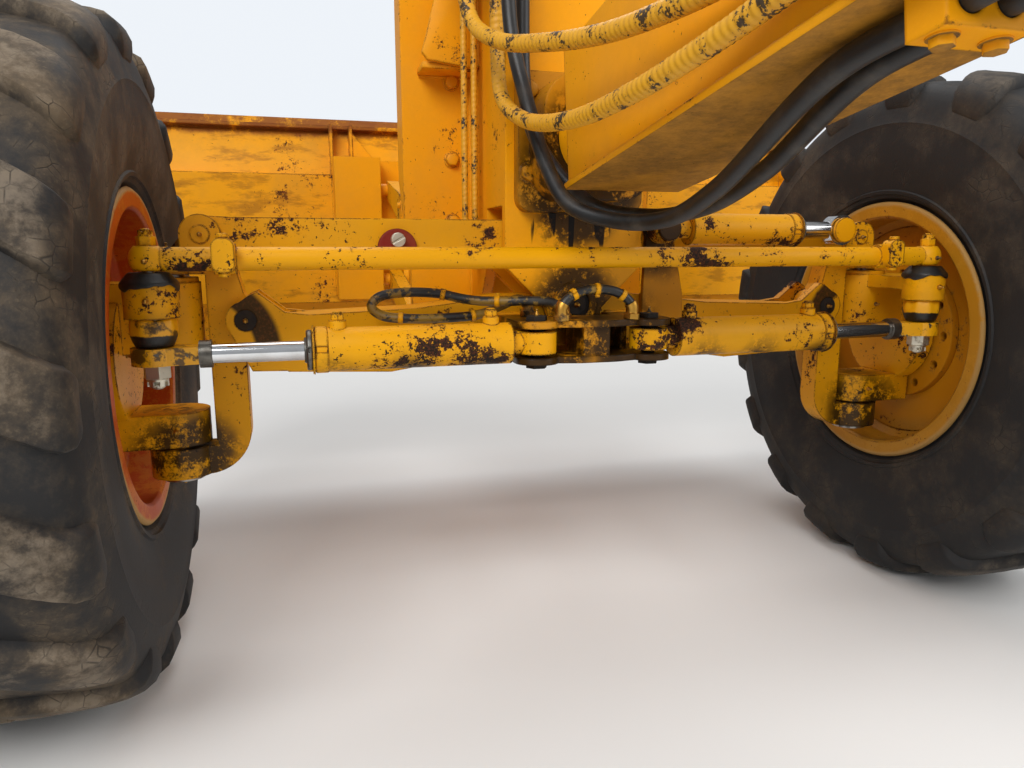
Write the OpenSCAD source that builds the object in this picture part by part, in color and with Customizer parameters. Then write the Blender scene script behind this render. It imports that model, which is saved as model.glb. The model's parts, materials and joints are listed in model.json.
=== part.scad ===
// Front end of a motor grader: frame nose with its drawbar tongue, leaning and
// steered front axle with both wheels, and the front push blade on its lift linkage.
// Millimetres. Inside the modules X points right, Y forwards and Z up, and the
// ground lies at Z = 0 under the axle. The whole part is shifted once at the end,
// so that its origin is the middle of the frame nose's upper end face.

/* [Wheels] */
// Overall diameter of a tyre, to the tips of its lugs
tyre_d = 1360; // [1320:10:1400]
// Section width of a tyre
tyre_w = 444; // [420:4:460]
// Height of the tread lugs
lug_h = 28; // [20:1:34]
// Number of lugs on each half of the tread
lug_count = 17; // [14:1:20]
// Share of the tread's length that the lugs of one half take
lug_share = 0.54; // [0.45:0.01:0.6]
// How far a lug sweeps back on its way to the shoulder
lug_sweep = 110; // [60:5:130]
// Thickness of the tyre's wall
tyre_wall = 24; // [18:1:30]
// Distance between the middle planes of the tyres
track_w = 2240; // [2200:10:2300]
// Diameter of the rim at its bead seats
rim_seat_d = 635; // [620:5:645]
// Diameter over the rim flanges
rim_flange_d = 700; // [690:5:720]
// Width over the rim flanges
rim_w = 390; // [370:10:410]
// Thickness of the rolled rim
rim_t = 12; // [8:1:16]
// Distance of the wheel disc inboard of the tyre's middle plane
disc_inset = 90; // [70:5:110]
// Thickness of the wheel disc
disc_t = 18; // [12:1:24]
// Number of wheel bolts
wheel_bolt_count = 12; // [8:1:16]
// Diameter of the wheel bolt circle
wheel_bolt_pcd = 315; // [300:5:325]
// Diameter of a wheel bolt hole
wheel_bolt_d = 22; // [16:1:24]
// Diameter of the hub flange
hub_flange_d = 370; // [360:2:380]
// Thickness of the hub flange
hub_flange_t = 22; // [16:1:28]
// Diameter of the hub barrel
hub_d = 196; // [180:4:220]
// Length of the hub barrel
hub_len = 150; // [140:5:170]
// Diameter of the hub cap
hub_cap_d = 150; // [120:5:170]
// Diameter of the spindle
spindle_d = 104; // [90:2:116]
// Diameter of the round drum at the spindle's root
drum_d = 270; // [250:5:280]

/* [Kingpins and knuckles] */
// Distance between the kingpins
kingpin_span = 1740; // [1720:10:1760]
// Diameter of a kingpin
kingpin_d = 64; // [50:2:70]
// Underside of the lower kingpin boss
kingpin_low_z = 424; // [420:2:430]
// Height of the lower kingpin boss
kingpin_low_h = 64; // [56:2:66]
// Diameter of the lower kingpin boss
kingpin_low_d = 128; // [110:2:150]
// Height of the upper kingpin boss
kingpin_up_h = 40; // [32:2:44]
// Diameter of the upper kingpin boss
kingpin_up_d = 104; // [96:2:112]
// Diameter of the knuckle's kingpin housings
knuckle_d = 124; // [110:2:128]
// Top of the knuckle's lower kingpin housing
knuckle_low_top_z = 566; // [556:2:580]
// Underside of the knuckle's upper kingpin housing
knuckle_up_low_z = 694; // [680:2:710]
// Length of the steering arm, from the kingpin to its eyes
steer_arm = 215; // [205:5:220]
// Underside of the steering arm's web
arm_low_z = 806; // [806:1:810]
// Height of the steering arm's web
arm_h = 32; // [28:1:34]
// Top of the knuckle's kingpin housing
knuckle_top_z = 848; // [846:1:852]
// Diameter of the steering arm's end boss
arm_end_d = 94; // [84:2:96]
// Underside of the steering arm's end boss
arm_end_low_z = 782; // [776:2:790]

/* [Axle and lean] */
// Distance between the two lean pivots
lean_span = 1440; // [1430:5:1450]
// Height of the lean pivots
lean_z = 758; // [754:1:760]
// Diameter of a lean pivot pin
lean_pin_d = 44; // [38:2:48]
// Diameter of the yoke's lean boss and of the axle fork's round end
lean_boss_d = 80; // [74:2:84]
// Half of the yoke's thickness
yoke_half = 30; // [26:1:32]
// Gap between the yoke and each fork plate
fork_gap = 6; // [5:1:8]
// Thickness of each fork plate
fork_t = 24; // [18:1:26]
// Room between each lean pivot and the solid part of the axle beam
yoke_room = 80; // [76:2:100]
// Height of the axle beam's top at its middle
beam_top_z = 800; // [790:5:810]
// Height of the axle beam's underside at its middle
beam_low_z = 672; // [660:2:680]
// Distance between the upper pins, which carry the lean bar
bar_span = 1590; // [1580:5:1600]
// Height of the upper pins
bar_z = 935; // [932:1:940]
// Diameter of the lean bar's pins
bar_pin_d = 36; // [30:2:40]
// Diameter of the lean bar's round ends
bar_end_d = 76; // [70:2:80]
// Thickness of the lean bar
bar_t = 30; // [24:1:32]
// Height of the lean bar between its ends
bar_h = 70; // [60:2:76]
// Radius of the half-round lock plate
lock_r = 42; // [36:1:48]

/* [Cylinders] */
// Distance of the steering cylinders and the tie rod behind the axle
rear_y = 215; // [205:5:220]
// Height of the steering cylinders
steer_z = 712; // [706:1:716]
// Distance of each steering cylinder's base pin from the middle
steer_base_x = 130; // [124:2:140]
// Diameter of the steering cylinder barrels
steer_barrel_d = 86; // [80:2:90]
// Place of the steering barrel's open end
steer_barrel_end = 590; // [570:5:600]
// Diameter of the steering cylinder rods
steer_rod_d = 38; // [34:1:42]
// Diameter of a steering rod's flat eye
steer_eye_d = 84; // [76:2:90]
// Thickness of a steering rod's flat eye
steer_eye_t = 32; // [26:1:34]
// Diameter of the lean cylinder barrel
lean_barrel_d = 74; // [66:2:76]
// Distance of the lean cylinder behind the axle
lean_cyl_y = 106; // [104:1:110]
// Height of the lean cylinder above the upper pins
lean_cyl_rise = 16; // [12:1:18]
// Distance of the lean cylinder's base pin from the middle
lean_base_x = 215; // [210:1:222]
// Distance of the lean cylinder's rod pin from the middle
lean_eye_x = 695; // [690:1:705]
// Place of the lean barrel's open end
lean_barrel_end = 570; // [560:2:576]
// Diameter of the lean cylinder rod
lean_rod_d = 42; // [36:1:44]

/* [Tie rod] */
// Height of the tie rod
tie_z = 888; // [886:1:892]
// Diameter of the tie rod's tube
tie_d = 44; // [38:2:48]
// Diameter of the tie rod's ball housings
tie_ball_housing_d = 64; // [60:2:68]
// Distance of each clamp collar from the tie rod's end
tie_collar_x = 132; // [126:2:150]
// Width of a clamp collar, along the tie rod
tie_collar_w = 40; // [34:2:46]
// Height of a clamp collar
tie_collar_h = 62; // [56:2:66]

/* [Frame nose] */
// Width of the frame nose
nose_w = 330; // [300:10:340]
// Upper end face of the frame nose
nose_top_z = 1620; // [1580:10:1680]
// Underside of the nose's closed box, above the lean bar
nose_box_z = 1000; // [996:2:1010]
// Thickness of the nose's walls
nose_wall = 26; // [20:1:27]
// Inner faces of the two axle ears, fore and aft
ear_y = 68; // [66:1:70]
// Height of the axle's centre pivot
pivot_z = 780; // [770:5:790]
// Diameter of the axle's centre pin
pivot_d = 70; // [60:2:76]
// Width of the front mounting plate
plate_w = 680; // [640:10:700]
// Thickness of the front mounting plate
plate_t = 30; // [24:1:32]
// Rear face of the front mounting plate
plate_y = 240; // [230:5:245]

/* [Drawbar tongue] */
// Width of the drawbar tongue
tongue_w = 220; // [200:5:230]
// Height of the drawbar tongue
tongue_h = 250; // [230:5:260]
// Centre of the drawbar's ball above the ground
ball_z = 1130; // [1120:5:1140]
// Diameter of the drawbar's ball
ball_d = 190; // [170:5:196]
// Rear end face of the tongue
tongue_end_y = 1350; // [1300:10:1400]
// Rise of the tongue towards the rear, in degrees
tongue_rise = 8.3; // [7:0.1:9]
// Width of the ball collar
collar_w = 290; // [280:5:300]
// Height of the ball collar
collar_h = 290; // [280:5:300]

/* [Push blade] */
// Width of the push blade
blade_w = 2750; // [2700:10:2800]
// Height of the push blade
blade_h = 830; // [800:10:840]
// Height of the raised blade's lower edge above the ground
blade_low_z = 520; // [510:5:530]
// Radius of the blade's curved plate
blade_r = 900; // [850:10:1000]
// Thickness of the blade's plate
blade_t = 14; // [10:1:18]
// Rearmost line of the blade's plate
blade_back_y = 990; // [985:5:1000]
// Height of the cutting edge
edge_h = 190; // [160:5:200]
// Thickness of the cutting edge
edge_t = 20; // [16:1:24]
// Length of the lift arms
lift_arm = 580; // [575:1:585]
// Slope of the lift arms with the blade raised, in degrees
lift_rest = 14; // [13.5:0.5:14.5]
// Height of the lower lift pivots
lift_low_z = 660; // [656:2:664]
// Vertical distance between the lower and the upper lift pivots
lift_gap = 300; // [280:5:310]
// Distance of the lift pivots in front of the axle
lift_y = 340; // [335:5:345]
// Distance of the lift arms from the middle
lift_x = 285; // [280:1:290]
// Diameter of the lift linkage's pins
lift_pin_d = 40; // [34:2:44]
// Thickness of a lift arm
lift_arm_t = 40; // [32:2:42]
// Diameter of the blade lift cylinder
lift_barrel_d = 96; // [84:2:100]
// Diameter of the blade lift cylinder's rod
lift_rod_d = 46; // [40:2:50]
// Height of the blade lift cylinder's upper pin
lift_top_z = 1440; // [1420:5:1450]
// Distance of the blade lift cylinder's upper pin in front of the axle
lift_top_y = 372; // [366:2:380]

/* [Hoses] */
// Outer diameter of the wrapped drawbar hoses
wrap_d = 30; // [24:1:32]
// Outer diameter of the thick black hoses
thick_d = 30; // [24:1:32]
// Outer diameter of the axle hoses
axle_hose_d = 22; // [18:1:24]

/* [Hidden] */

// Middle of the nose's upper end face, which is the part's origin
nose_y0 = -ear_y - nose_wall;
nose_mid_y = (nose_y0 + plate_y) / 2;

// Running clearance of a pin in its bore, and of parts that only touch
fit = 0.05;
seat = 0.3;
// Overlap by which features of one solid are sunk into each other
sink = 2;

wheel_z = tyre_d / 2;
tyre_x = track_w / 2;
disc_x = tyre_x - disc_inset;
king_x = kingpin_span / 2;
lean_x = lean_span / 2;
bar_x = bar_span / 2;
fork_in = yoke_half + fork_gap;
fork_out = fork_in + fork_t;
beam_len = lean_span - 2 * yoke_room;
bar_y = yoke_half + bar_t / 2 + 2;

paint = [0.86, 0.56, 0.08];
sun_paint = [0.93, 0.72, 0.12];
rubber = [0.12, 0.12, 0.12];
tread = [0.34, 0.31, 0.27];
steel = [0.72, 0.73, 0.75];
maroon = [0.45, 0.09, 0.07];
grease = [0.16, 0.11, 0.07];

// Cylinder along X from x0 to x1
module bar_x_dir(x0, x1, d) {
  translate([x0, 0, 0]) rotate([0, 90, 0]) cylinder(h = x1 - x0, d = d, $fn = 64);
}

// Cylinder along Y from y0 to y1
module bar_y_dir(y0, y1, d) {
  translate([0, y0, 0]) rotate([-90, 0, 0]) cylinder(h = y1 - y0, d = d, $fn = 64);
}

// Plate with an outline in X and Z, from y0 to y1
module plate_xz(y0, y1) {
  translate([0, y1, 0]) rotate([90, 0, 0]) linear_extrude(height = y1 - y0) children();
}

// Plate with an outline in Y and Z, from x0 to x1
module plate_yz(x0, x1) {
  translate([x0, 0, 0]) rotate([90, 0, 90]) linear_extrude(height = x1 - x0) children();
}

// Box given by its low and high corners
module span_box(low, high) {
  translate(low) cube(high - low);
}

// Left pieces are drawn as they stand, right pieces are their mirror image
module on_side(right) {
  if (right) mirror([1, 0, 0]) children();
  else children();
}

// Wheel parts are turned about a vertical axis and then laid along X
module about_wheel(x) {
  translate([x, 0, wheel_z]) rotate([0, 90, 0]) children();
}

// Tube swept along a list of points with a given number of sides
function unit(v) = v / norm(v);
function mid_dir(p, i) =
  i == 0 ? unit(p[1] - p[0]) :
  i == len(p) - 1 ? unit(p[i] - p[i - 1]) : unit(unit(p[i] - p[i - 1]) + unit(p[i + 1] - p[i]));
function first_normal(d) = unit(cross(d, abs(d[2]) > 0.8 ? [0, 1, 0] : [0, 0, 1]));
function carry(n, d) = unit(n - (n * d) * d);
function frames(p, i = 0, n = undef) =
  let(d = mid_dir(p, i), m = i == 0 ? first_normal(d) : carry(n, d))
  i == len(p) - 1 ? [[d, m]] : concat([[d, m]], frames(p, i + 1, m));
module tube_along(p, d, sides = 8) {
  f = frames(p);
  ring = [for (i = [0 : len(p) - 1]) for (k = [0 : sides - 1])
    let(a = 360 * k / sides, u = f[i][1], v = cross(f[i][0], f[i][1]))
    p[i] + (d / 2) * (cos(a) * u + sin(a) * v)];
  last = (len(p) - 1) * sides;
  side_faces = [for (i = [0 : len(p) - 2]) for (k = [0 : sides - 1])
    let(a = i * sides + k, b = i * sides + (k + 1) % sides)
    each [[a, b, b + sides], [a, b + sides, a + sides]]];
  caps = [for (k = [1 : sides - 2]) each [[0, k + 1, k], [last, last + k, last + k + 1]]];
  polyhedron(points = ring, faces = concat(side_faces, caps), convexity = 4);
}

// Tyre: the section is carried round the wheel in four steps for each lug. Its crown stands
// high on the lugs and low between them, and the halves of the tread take turns. Each point
// of the half section: radius, half width, depth lost between the lugs, share of the sweep
lug_steps = 4 * lug_count;
lug_flank = 0.07;
bead_r = (rim_seat_d / 2 + seat) / cos(180 * (lug_share - lug_flank) / lug_count);
crown_r = tyre_d / 2;
tyre_half = [
  [bead_r, rim_w / 2 - 36, 0, 1],
  [bead_r, rim_w / 2 - rim_t - 3, 0, 1],
  [rim_flange_d / 2 + 4, rim_w / 2 - rim_t - 3, 0, 1],
  [rim_flange_d / 2 + 8, tyre_w * 0.45, 0, 1],
  [(rim_flange_d + tyre_d) / 4, tyre_w / 2, 0, 1],
  [crown_r - 68, tyre_w / 2 - 10, 0, 1],
  [crown_r - 14, tyre_w / 2 - 34, lug_h, 0.9],
  [crown_r, 12, lug_h, 0.1]];
tyre_hollow = [
  [crown_r - lug_h - tyre_wall, -(tyre_w / 2 - 2 * tyre_wall), 0, 1],
  [(rim_flange_d + tyre_d) / 4, -(tyre_w / 2 - tyre_wall), 0, 1],
  [(rim_flange_d + tyre_d) / 4, tyre_w / 2 - tyre_wall, 0, 1],
  [crown_r - lug_h - tyre_wall, tyre_w / 2 - 2 * tyre_wall, 0, 1]];
function on_lug(step, width) = (step % 4 < 2) == (width > 0);
function tyre_point(s, step) =
  let(r = s[0] - (on_lug(step, s[1]) ? 0 : s[2]),
      part = [0, lug_share - lug_flank, lug_share, 1 - lug_flank][step % 4],
      a = 360 * (floor(step / 4) + part) / lug_count + s[3] * lug_sweep / crown_r * 180 / PI)
  [r * cos(a), r * sin(a), s[1]];
module tyre(right) {
  n = len(tyre_half);
  low_half = [for (k = [n - 1 : -1 : 0]) [tyre_half[k][0], -tyre_half[k][1], tyre_half[k][2], tyre_half[k][3]]];
  crown = [[crown_r - lug_h, 0, 0, 0]];
  hollow = [tyre_hollow[1], tyre_hollow[0], tyre_hollow[3], tyre_hollow[2]];
  ring = concat(tyre_half, crown, low_half, hollow);
  m = len(ring);
  points = [for (i = [0 : lug_steps - 1]) for (s = ring) tyre_point(s, i)];
  faces = [for (i = [0 : lug_steps - 1]) for (k = [0 : m - 1])
    let(a = i * m + k, b = i * m + (k + 1) % m, c = ((i + 1) % lug_steps) * m + (k + 1) % m,
        d = ((i + 1) % lug_steps) * m + k)
    each [[a, b, c], [a, c, d]]];
  color(tread) on_side(right) about_wheel(-tyre_x) polyhedron(points = points, faces = faces, convexity = 8);
}
module tyre_l() tyre(false);
module tyre_r() tyre(true);

// Rim: rolled section with both flanges, the bead seats and the well, and the wheel disc
module rim_section() {
  seat_r = rim_seat_d / 2;
  top_r = rim_flange_d / 2;
  half_w = rim_w / 2;
  well_r = seat_r - 22;
  half = [[well_r, half_w - 118], [seat_r, half_w - 96], [seat_r, half_w - rim_t],
          [top_r - 6, half_w - rim_t], [top_r, half_w - rim_t / 2], [top_r - 6, half_w],
          [seat_r - rim_t + 6, half_w], [seat_r - rim_t, half_w - 6],
          [seat_r - rim_t, half_w - 90], [well_r - rim_t, half_w - 112]];
  polygon(concat(half, [for (i = [len(half) - 1 : -1 : 0]) [half[i][0], -half[i][1]]]));
}
module rim(right) {
  well_in = rim_seat_d / 2 - 22 - rim_t;
  color(paint) on_side(right) difference() {
    union() {
      about_wheel(-tyre_x) rotate_extrude($fn = 96) rim_section();
      about_wheel(-disc_x) translate([0, 0, -disc_t]) cylinder(h = disc_t, r = well_in + sink, $fn = 96);
    }
    about_wheel(-disc_x) translate([0, 0, -2 * disc_t]) {
      cylinder(h = 3 * disc_t, d = hub_d + 2 * seat, $fn = 64);
      for (i = [0 : wheel_bolt_count - 1]) rotate([0, 0, 360 * i / wheel_bolt_count])
        translate([wheel_bolt_pcd / 2, 0, 0]) cylinder(h = 3 * disc_t, d = wheel_bolt_d, $fn = 24);
    }
  }
}
module rim_l() rim(false);
module rim_r() rim(true);

// Hub: flange against the disc, barrel round the spindle, and the outer cap
hub_in_x = disc_x - hub_flange_t;
drum_x0 = king_x + 88;
drum_x1 = king_x + 130;
hub_barrel_x0 = drum_x1 + 6;
module hub(right) {
  color(paint) on_side(right) difference() {
    union() {
      translate([0, 0, wheel_z]) {
        bar_x_dir(-hub_in_x - hub_flange_t + seat, -hub_in_x, hub_flange_d);
        bar_x_dir(-hub_barrel_x0 - hub_len, -hub_barrel_x0, hub_d);
        bar_x_dir(-hub_barrel_x0 - hub_len - 46, -hub_barrel_x0 - hub_len + sink, hub_cap_d);
      }
    }
    translate([0, 0, wheel_z]) bar_x_dir(-hub_barrel_x0 - hub_len + 20, -hub_barrel_x0 + 1, spindle_d + 2 * fit);
    translate([0, 0, wheel_z]) for (i = [0 : wheel_bolt_count - 1]) rotate([360 * i / wheel_bolt_count, 0, 0])
      translate([-hub_in_x - 2 * hub_flange_t, 0, -wheel_bolt_pcd / 2])
        bar_x_dir(0, 3 * hub_flange_t, wheel_bolt_d);
  }
}
module hub_l() hub(false);
module hub_r() hub(true);

// Knuckle: upper and lower kingpin housings on a column, the spindle and the steering arm
knuckle_z0 = kingpin_low_z + kingpin_low_h + 6;
knuckle_z1 = knuckle_top_z;
housing_wall = 12;
module knuckle_housing(z0, z1) {
  translate([-king_x, 0, z0]) cylinder(h = z1 - z0, d = knuckle_d, $fn = 64);
  span_box([-drum_x1, -knuckle_d / 2, z0], [-king_x, knuckle_d / 2, z1]);
}
module knuckle(right) {
  color(paint) on_side(right) difference() {
    union() {
      knuckle_housing(knuckle_z0, knuckle_low_top_z);
      knuckle_housing(knuckle_up_low_z, arm_low_z + arm_h);
      translate([-king_x, 0, knuckle_up_low_z])
        cylinder(h = knuckle_z1 - knuckle_up_low_z, d = knuckle_d - 8, $fn = 64);
      span_box([-drum_x1, -knuckle_d / 2, knuckle_z0], [-drum_x0, knuckle_d / 2, arm_low_z + arm_h]);
      translate([0, 0, wheel_z]) {
        bar_x_dir(-drum_x1, -drum_x0, drum_d);
        bar_x_dir(-hub_barrel_x0 - hub_len + 26, -drum_x0, spindle_d);
      }
      translate([-king_x, 0, arm_low_z]) linear_extrude(height = arm_h)
        polygon([[-knuckle_d / 2, 0], [-60, -100], [-arm_end_d / 2, -steer_arm],
                 [arm_end_d / 2, -steer_arm], [30, -130], [24, -30]]);
      translate([-king_x, -steer_arm, arm_end_low_z])
        cylinder(h = knuckle_z1 - arm_end_low_z, d = arm_end_d, $fn = 48);
    }
    translate([-king_x, 0, knuckle_z0 - 1])
      cylinder(h = knuckle_low_top_z - housing_wall - knuckle_z0 + 1, d = kingpin_d + 2 * fit, $fn = 64);
    translate([-king_x, 0, knuckle_up_low_z + housing_wall])
      cylinder(h = knuckle_z1 - knuckle_up_low_z, d = kingpin_d + 2 * fit, $fn = 64);
  }
}
module knuckle_l() knuckle(false);
module knuckle_r() knuckle(true);

// Rubber boots above and below the steering arm's eye
module boot(z0, z1, d0, d1, wall = 4) {
  translate([0, 0, z0]) rotate_extrude($fn = 40) polygon([
    [d0 / 2 - wall, 0], [d0 / 2, 0], [(d0 + d1) / 4 + 3, (z1 - z0) / 2], [d1 / 2, z1 - z0],
    [d1 / 2 - wall, z1 - z0], [(d0 + d1) / 4 + 3 - wall, (z1 - z0) / 2]]);
}
module boots(right) {
  color(rubber) on_side(right) translate([-king_x, -steer_arm, 0]) {
    boot(knuckle_z1 + seat, tie_z - tie_d / 2 - seat, arm_end_d - 12, 56);
    boot(steer_z + steer_eye_t / 2 + seat, arm_end_low_z - seat, 66, arm_end_d - 12);
  }
}
module boots_l() boots(false);
module boots_r() boots(true);

// Yoke: casting that leans on the axle, holds the kingpin and carries the lean bar's pin
kingpin_up_z = knuckle_z1 + 6;
// Inboard face and outer radius of the C that reaches down round the knuckle
yoke_in = lean_x + 4;
yoke_round = 96;
// Opening of the C, in which the knuckle turns
yoke_mouth = king_x - knuckle_d / 2 - 12;
module yoke_outline() {
  low_top = kingpin_low_z + kingpin_low_h;
  difference() {
    union() {
      polygon([[-yoke_in, kingpin_low_z + yoke_round], [-yoke_in, lean_z - 66], [-lean_x + 34, lean_z],
               [-lean_x - 2, lean_z + 56], [-lean_x - 18, lean_z + 122], [-bar_x + 38, bar_z], [-bar_x - 30, bar_z + 12],
               [-king_x, kingpin_up_z + kingpin_up_h], [-king_x, kingpin_low_z],
               [-yoke_in - yoke_round, kingpin_low_z]]);
      translate([-yoke_in - yoke_round, kingpin_low_z + yoke_round]) circle(r = yoke_round, $fn = 90);
      translate([-lean_x, lean_z]) circle(d = lean_boss_d, $fn = 64);
      translate([-bar_x, bar_z]) circle(d = bar_end_d, $fn = 64);
    }
    translate([-king_x - 100, low_top]) square([king_x + 100 - yoke_mouth, kingpin_up_z - low_top]);
    translate([-lean_x, lean_z]) circle(d = lean_pin_d + 2 * fit, $fn = 64);
  }
}
// Outer ear over the lean bar's round end, and the web that carries it
ear_y1 = -bar_y - bar_t / 2 - 2;
ear_plate_t = 12;
module bar_ear() {
  plate_xz(ear_y1 - ear_plate_t, ear_y1) {
    translate([-bar_x, bar_z]) circle(d = bar_end_d + 4, $fn = 64);
    polygon([[-bar_x - 40, bar_z], [-bar_x - 40, bar_z - 72], [-bar_x + 30, bar_z - 72],
             [-bar_x + 55, bar_z - 44], [-bar_x + 26, bar_z + 30]]);
  }
  span_box([-bar_x - 40, ear_y1 - ear_plate_t, bar_z - 72], [-bar_x + 10, -yoke_half + sink, bar_z - 44]);
}
module yoke(right) {
  color(paint) on_side(right) difference() {
    union() {
      plate_xz(-yoke_half, yoke_half) yoke_outline();
      translate([-king_x, 0, kingpin_low_z])
        cylinder(h = kingpin_low_h, d = kingpin_low_d, $fn = 64);
      translate([-king_x, 0, kingpin_up_z])
        cylinder(h = kingpin_up_h, d = kingpin_up_d, $fn = 64);
      translate([-bar_x, 0, bar_z]) bar_y_dir(ear_y1 - ear_plate_t - 3, -yoke_half + sink, bar_pin_d);
      bar_ear();
    }
    translate([-king_x, 0, kingpin_low_z - 1])
      cylinder(h = kingpin_up_z + kingpin_up_h - kingpin_low_z + 2, d = kingpin_d + 2 * fit, $fn = 64);
    translate([-king_x, 0, kingpin_up_z + kingpin_up_h]) cylinder(h = 16, d = kingpin_d + 22, $fn = 48);
  }
}
module yoke_l() yoke(false);
module yoke_r() yoke(true);

// Kingpins: an upper and a lower one, with their end caps
module kingpin(right) {
  top = kingpin_up_z + kingpin_up_h;
  up_low = knuckle_up_low_z + housing_wall + 2;
  low_top = knuckle_low_top_z - housing_wall - 2;
  color(steel) on_side(right) translate([-king_x, 0, 0]) {
    translate([0, 0, kingpin_low_z + 2]) cylinder(h = low_top - kingpin_low_z - 2, d = kingpin_d, $fn = 64);
    translate([0, 0, kingpin_low_z - 10 - seat]) cylinder(h = 10, d = kingpin_d + 22, $fn = 48);
    translate([0, 0, kingpin_low_z - 4]) cylinder(h = 8, d = kingpin_d - 10, $fn = 48);
    translate([0, 0, up_low]) cylinder(h = top - up_low, d = kingpin_d, $fn = 64);
    translate([0, 0, top + seat]) cylinder(h = 10, d = kingpin_d + 18, $fn = 48);
    translate([0, 0, top - 1]) cylinder(h = 4, d = kingpin_d - 10, $fn = 48);
  }
}
module kingpin_l() kingpin(false);
module kingpin_r() kingpin(true);

// Lean bar between the upper pins: flat bar with round ends
lean_eye_pin_d = 26;
lean_cyl_z = bar_z + lean_cyl_rise;
module lean_bar() {
  clear = 7.5;
  color(paint) difference() {
    union() {
      plate_xz(-bar_y - bar_t / 2, -bar_y + bar_t / 2) {
        for (s = [-1, 1]) translate([s * bar_x, bar_z]) circle(d = bar_end_d, $fn = 64);
        polygon([[-bar_x, bar_z - 38], [-bar_x + 60, bar_z - bar_h / 2], [bar_x - 60, bar_z - bar_h / 2],
                 [bar_x, bar_z - 38], [bar_x, bar_z + 38], [bar_x - 60, bar_z + bar_h / 2],
                 [-bar_x + 60, bar_z + bar_h / 2], [-bar_x, bar_z + 38]]);
      }
      translate([lean_eye_x, 0, lean_cyl_z]) {
        bar_y_dir(-lean_cyl_y - 22, -bar_y, lean_eye_pin_d);
        bar_y_dir(-lean_cyl_y - 30, -lean_cyl_y - 21, 60);
      }
    }
    translate([-bar_x, 0, bar_z]) bar_y_dir(-bar_y - bar_t, -bar_y + bar_t, bar_pin_d + 2 * fit);
    translate([bar_x, 0, bar_z]) bar_y_dir(-bar_y - bar_t, -bar_y + bar_t, bar_pin_d + 2 * clear);
  }
}

// Half-round lock plate bolted to the lean bar
lock_x = -400;
lock_z = bar_z - 28;
module lock_plate() {
  y1 = -bar_y - bar_t / 2 - seat;
  color(maroon) difference() {
    plate_xz(y1 - 12, y1) translate([lock_x, lock_z]) {
      intersection() {
        circle(r = lock_r, $fn = 64);
        translate([-lock_r, 0]) square([2 * lock_r, lock_r]);
      }
    }
  }
  color(steel) translate([lock_x, 0, lock_z + 18]) translate([0, y1 - 12 + 1, 0])
    rotate([90, 0, 0]) cylinder(h = 11, d = 26, $fn = 6);
}

// Lean cylinder: barrel on the axle's bracket, rod on the lean bar's pin
lean_wall = 8;
lean_neck = 62;
module lean_barrel() {
  inner = lean_barrel_d - 2 * lean_wall;
  color(paint) translate([0, -lean_cyl_y, lean_cyl_z]) difference() {
    union() {
      bar_x_dir(lean_base_x + lean_neck, lean_barrel_end, lean_barrel_d);
      bar_x_dir(lean_base_x, lean_base_x + lean_neck + 4, 42);
      translate([lean_base_x, 0, 0]) bar_y_dir(-22, 22, 66);
    }
    translate([lean_base_x, 0, 0]) bar_y_dir(-30, 30, 36 + 2 * fit);
    bar_x_dir(lean_base_x + lean_neck + 14, lean_barrel_end - 34, inner);
    bar_x_dir(lean_barrel_end - 40, lean_barrel_end + 1, lean_rod_d + 2 * fit);
  }
}
module lean_rod() {
  inner = lean_barrel_d - 2 * lean_wall;
  color(steel) translate([0, -lean_cyl_y, lean_cyl_z]) difference() {
    union() {
      bar_x_dir(lean_eye_x - 310, lean_eye_x - 20, lean_rod_d);
      bar_x_dir(lean_eye_x - 316, lean_eye_x - 286, inner - 2 * fit);
      translate([lean_eye_x, 0, 0]) bar_y_dir(-18, 18, 74);
    }
    translate([lean_eye_x, 0, 0]) bar_y_dir(-20, 20, lean_eye_pin_d + 22);
  }
}

// Tie rod: ball stud on the left arm, tube with clamp collars, and both ball housings
tie_ball_d = 36;
tie_stud_d = 19;
tie_end_low = tie_d / 2 - 1;
tie_end_up = 24;
module tie_ball() {
  color(steel) translate([-king_x, -steer_arm, 0]) {
    translate([0, 0, tie_z]) sphere(d = tie_ball_d, $fn = 48);
    translate([0, 0, knuckle_z1 + seat]) cylinder(h = tie_z - knuckle_z1, d = tie_stud_d, $fn = 32);
  }
}
module tie_rod() {
  color(paint) difference() {
    union() {
      translate([0, -steer_arm, tie_z]) {
        bar_x_dir(-king_x, king_x, tie_d);
        for (s = [-1, 1]) {
          translate([s * (king_x - tie_collar_x), 0, 0]) {
            bar_x_dir(-tie_collar_w / 2, tie_collar_w / 2, tie_d + 12);
            translate([0, -tie_d / 2 - 12, 7]) plate_xz(-14, 16) rounded_plate(tie_collar_w, tie_collar_h, 16);
          }
        }
      }
      for (s = [-1, 1]) translate([s * king_x, -steer_arm, tie_z])
        intersection() {
          sphere(d = tie_ball_housing_d, $fn = 48);
          translate([0, 0, -tie_end_low])
            cylinder(h = tie_end_low + tie_end_up, d = tie_ball_housing_d, $fn = 48);
        }
    }
    translate([-king_x, -steer_arm, tie_z]) {
      sphere(d = tie_ball_d + 2 * seat, $fn = 48);
      translate([0, 0, -tie_ball_housing_d]) cylinder(h = tie_ball_housing_d, d = tie_ball_d - 3, $fn = 48);
    }
  }
}

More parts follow.
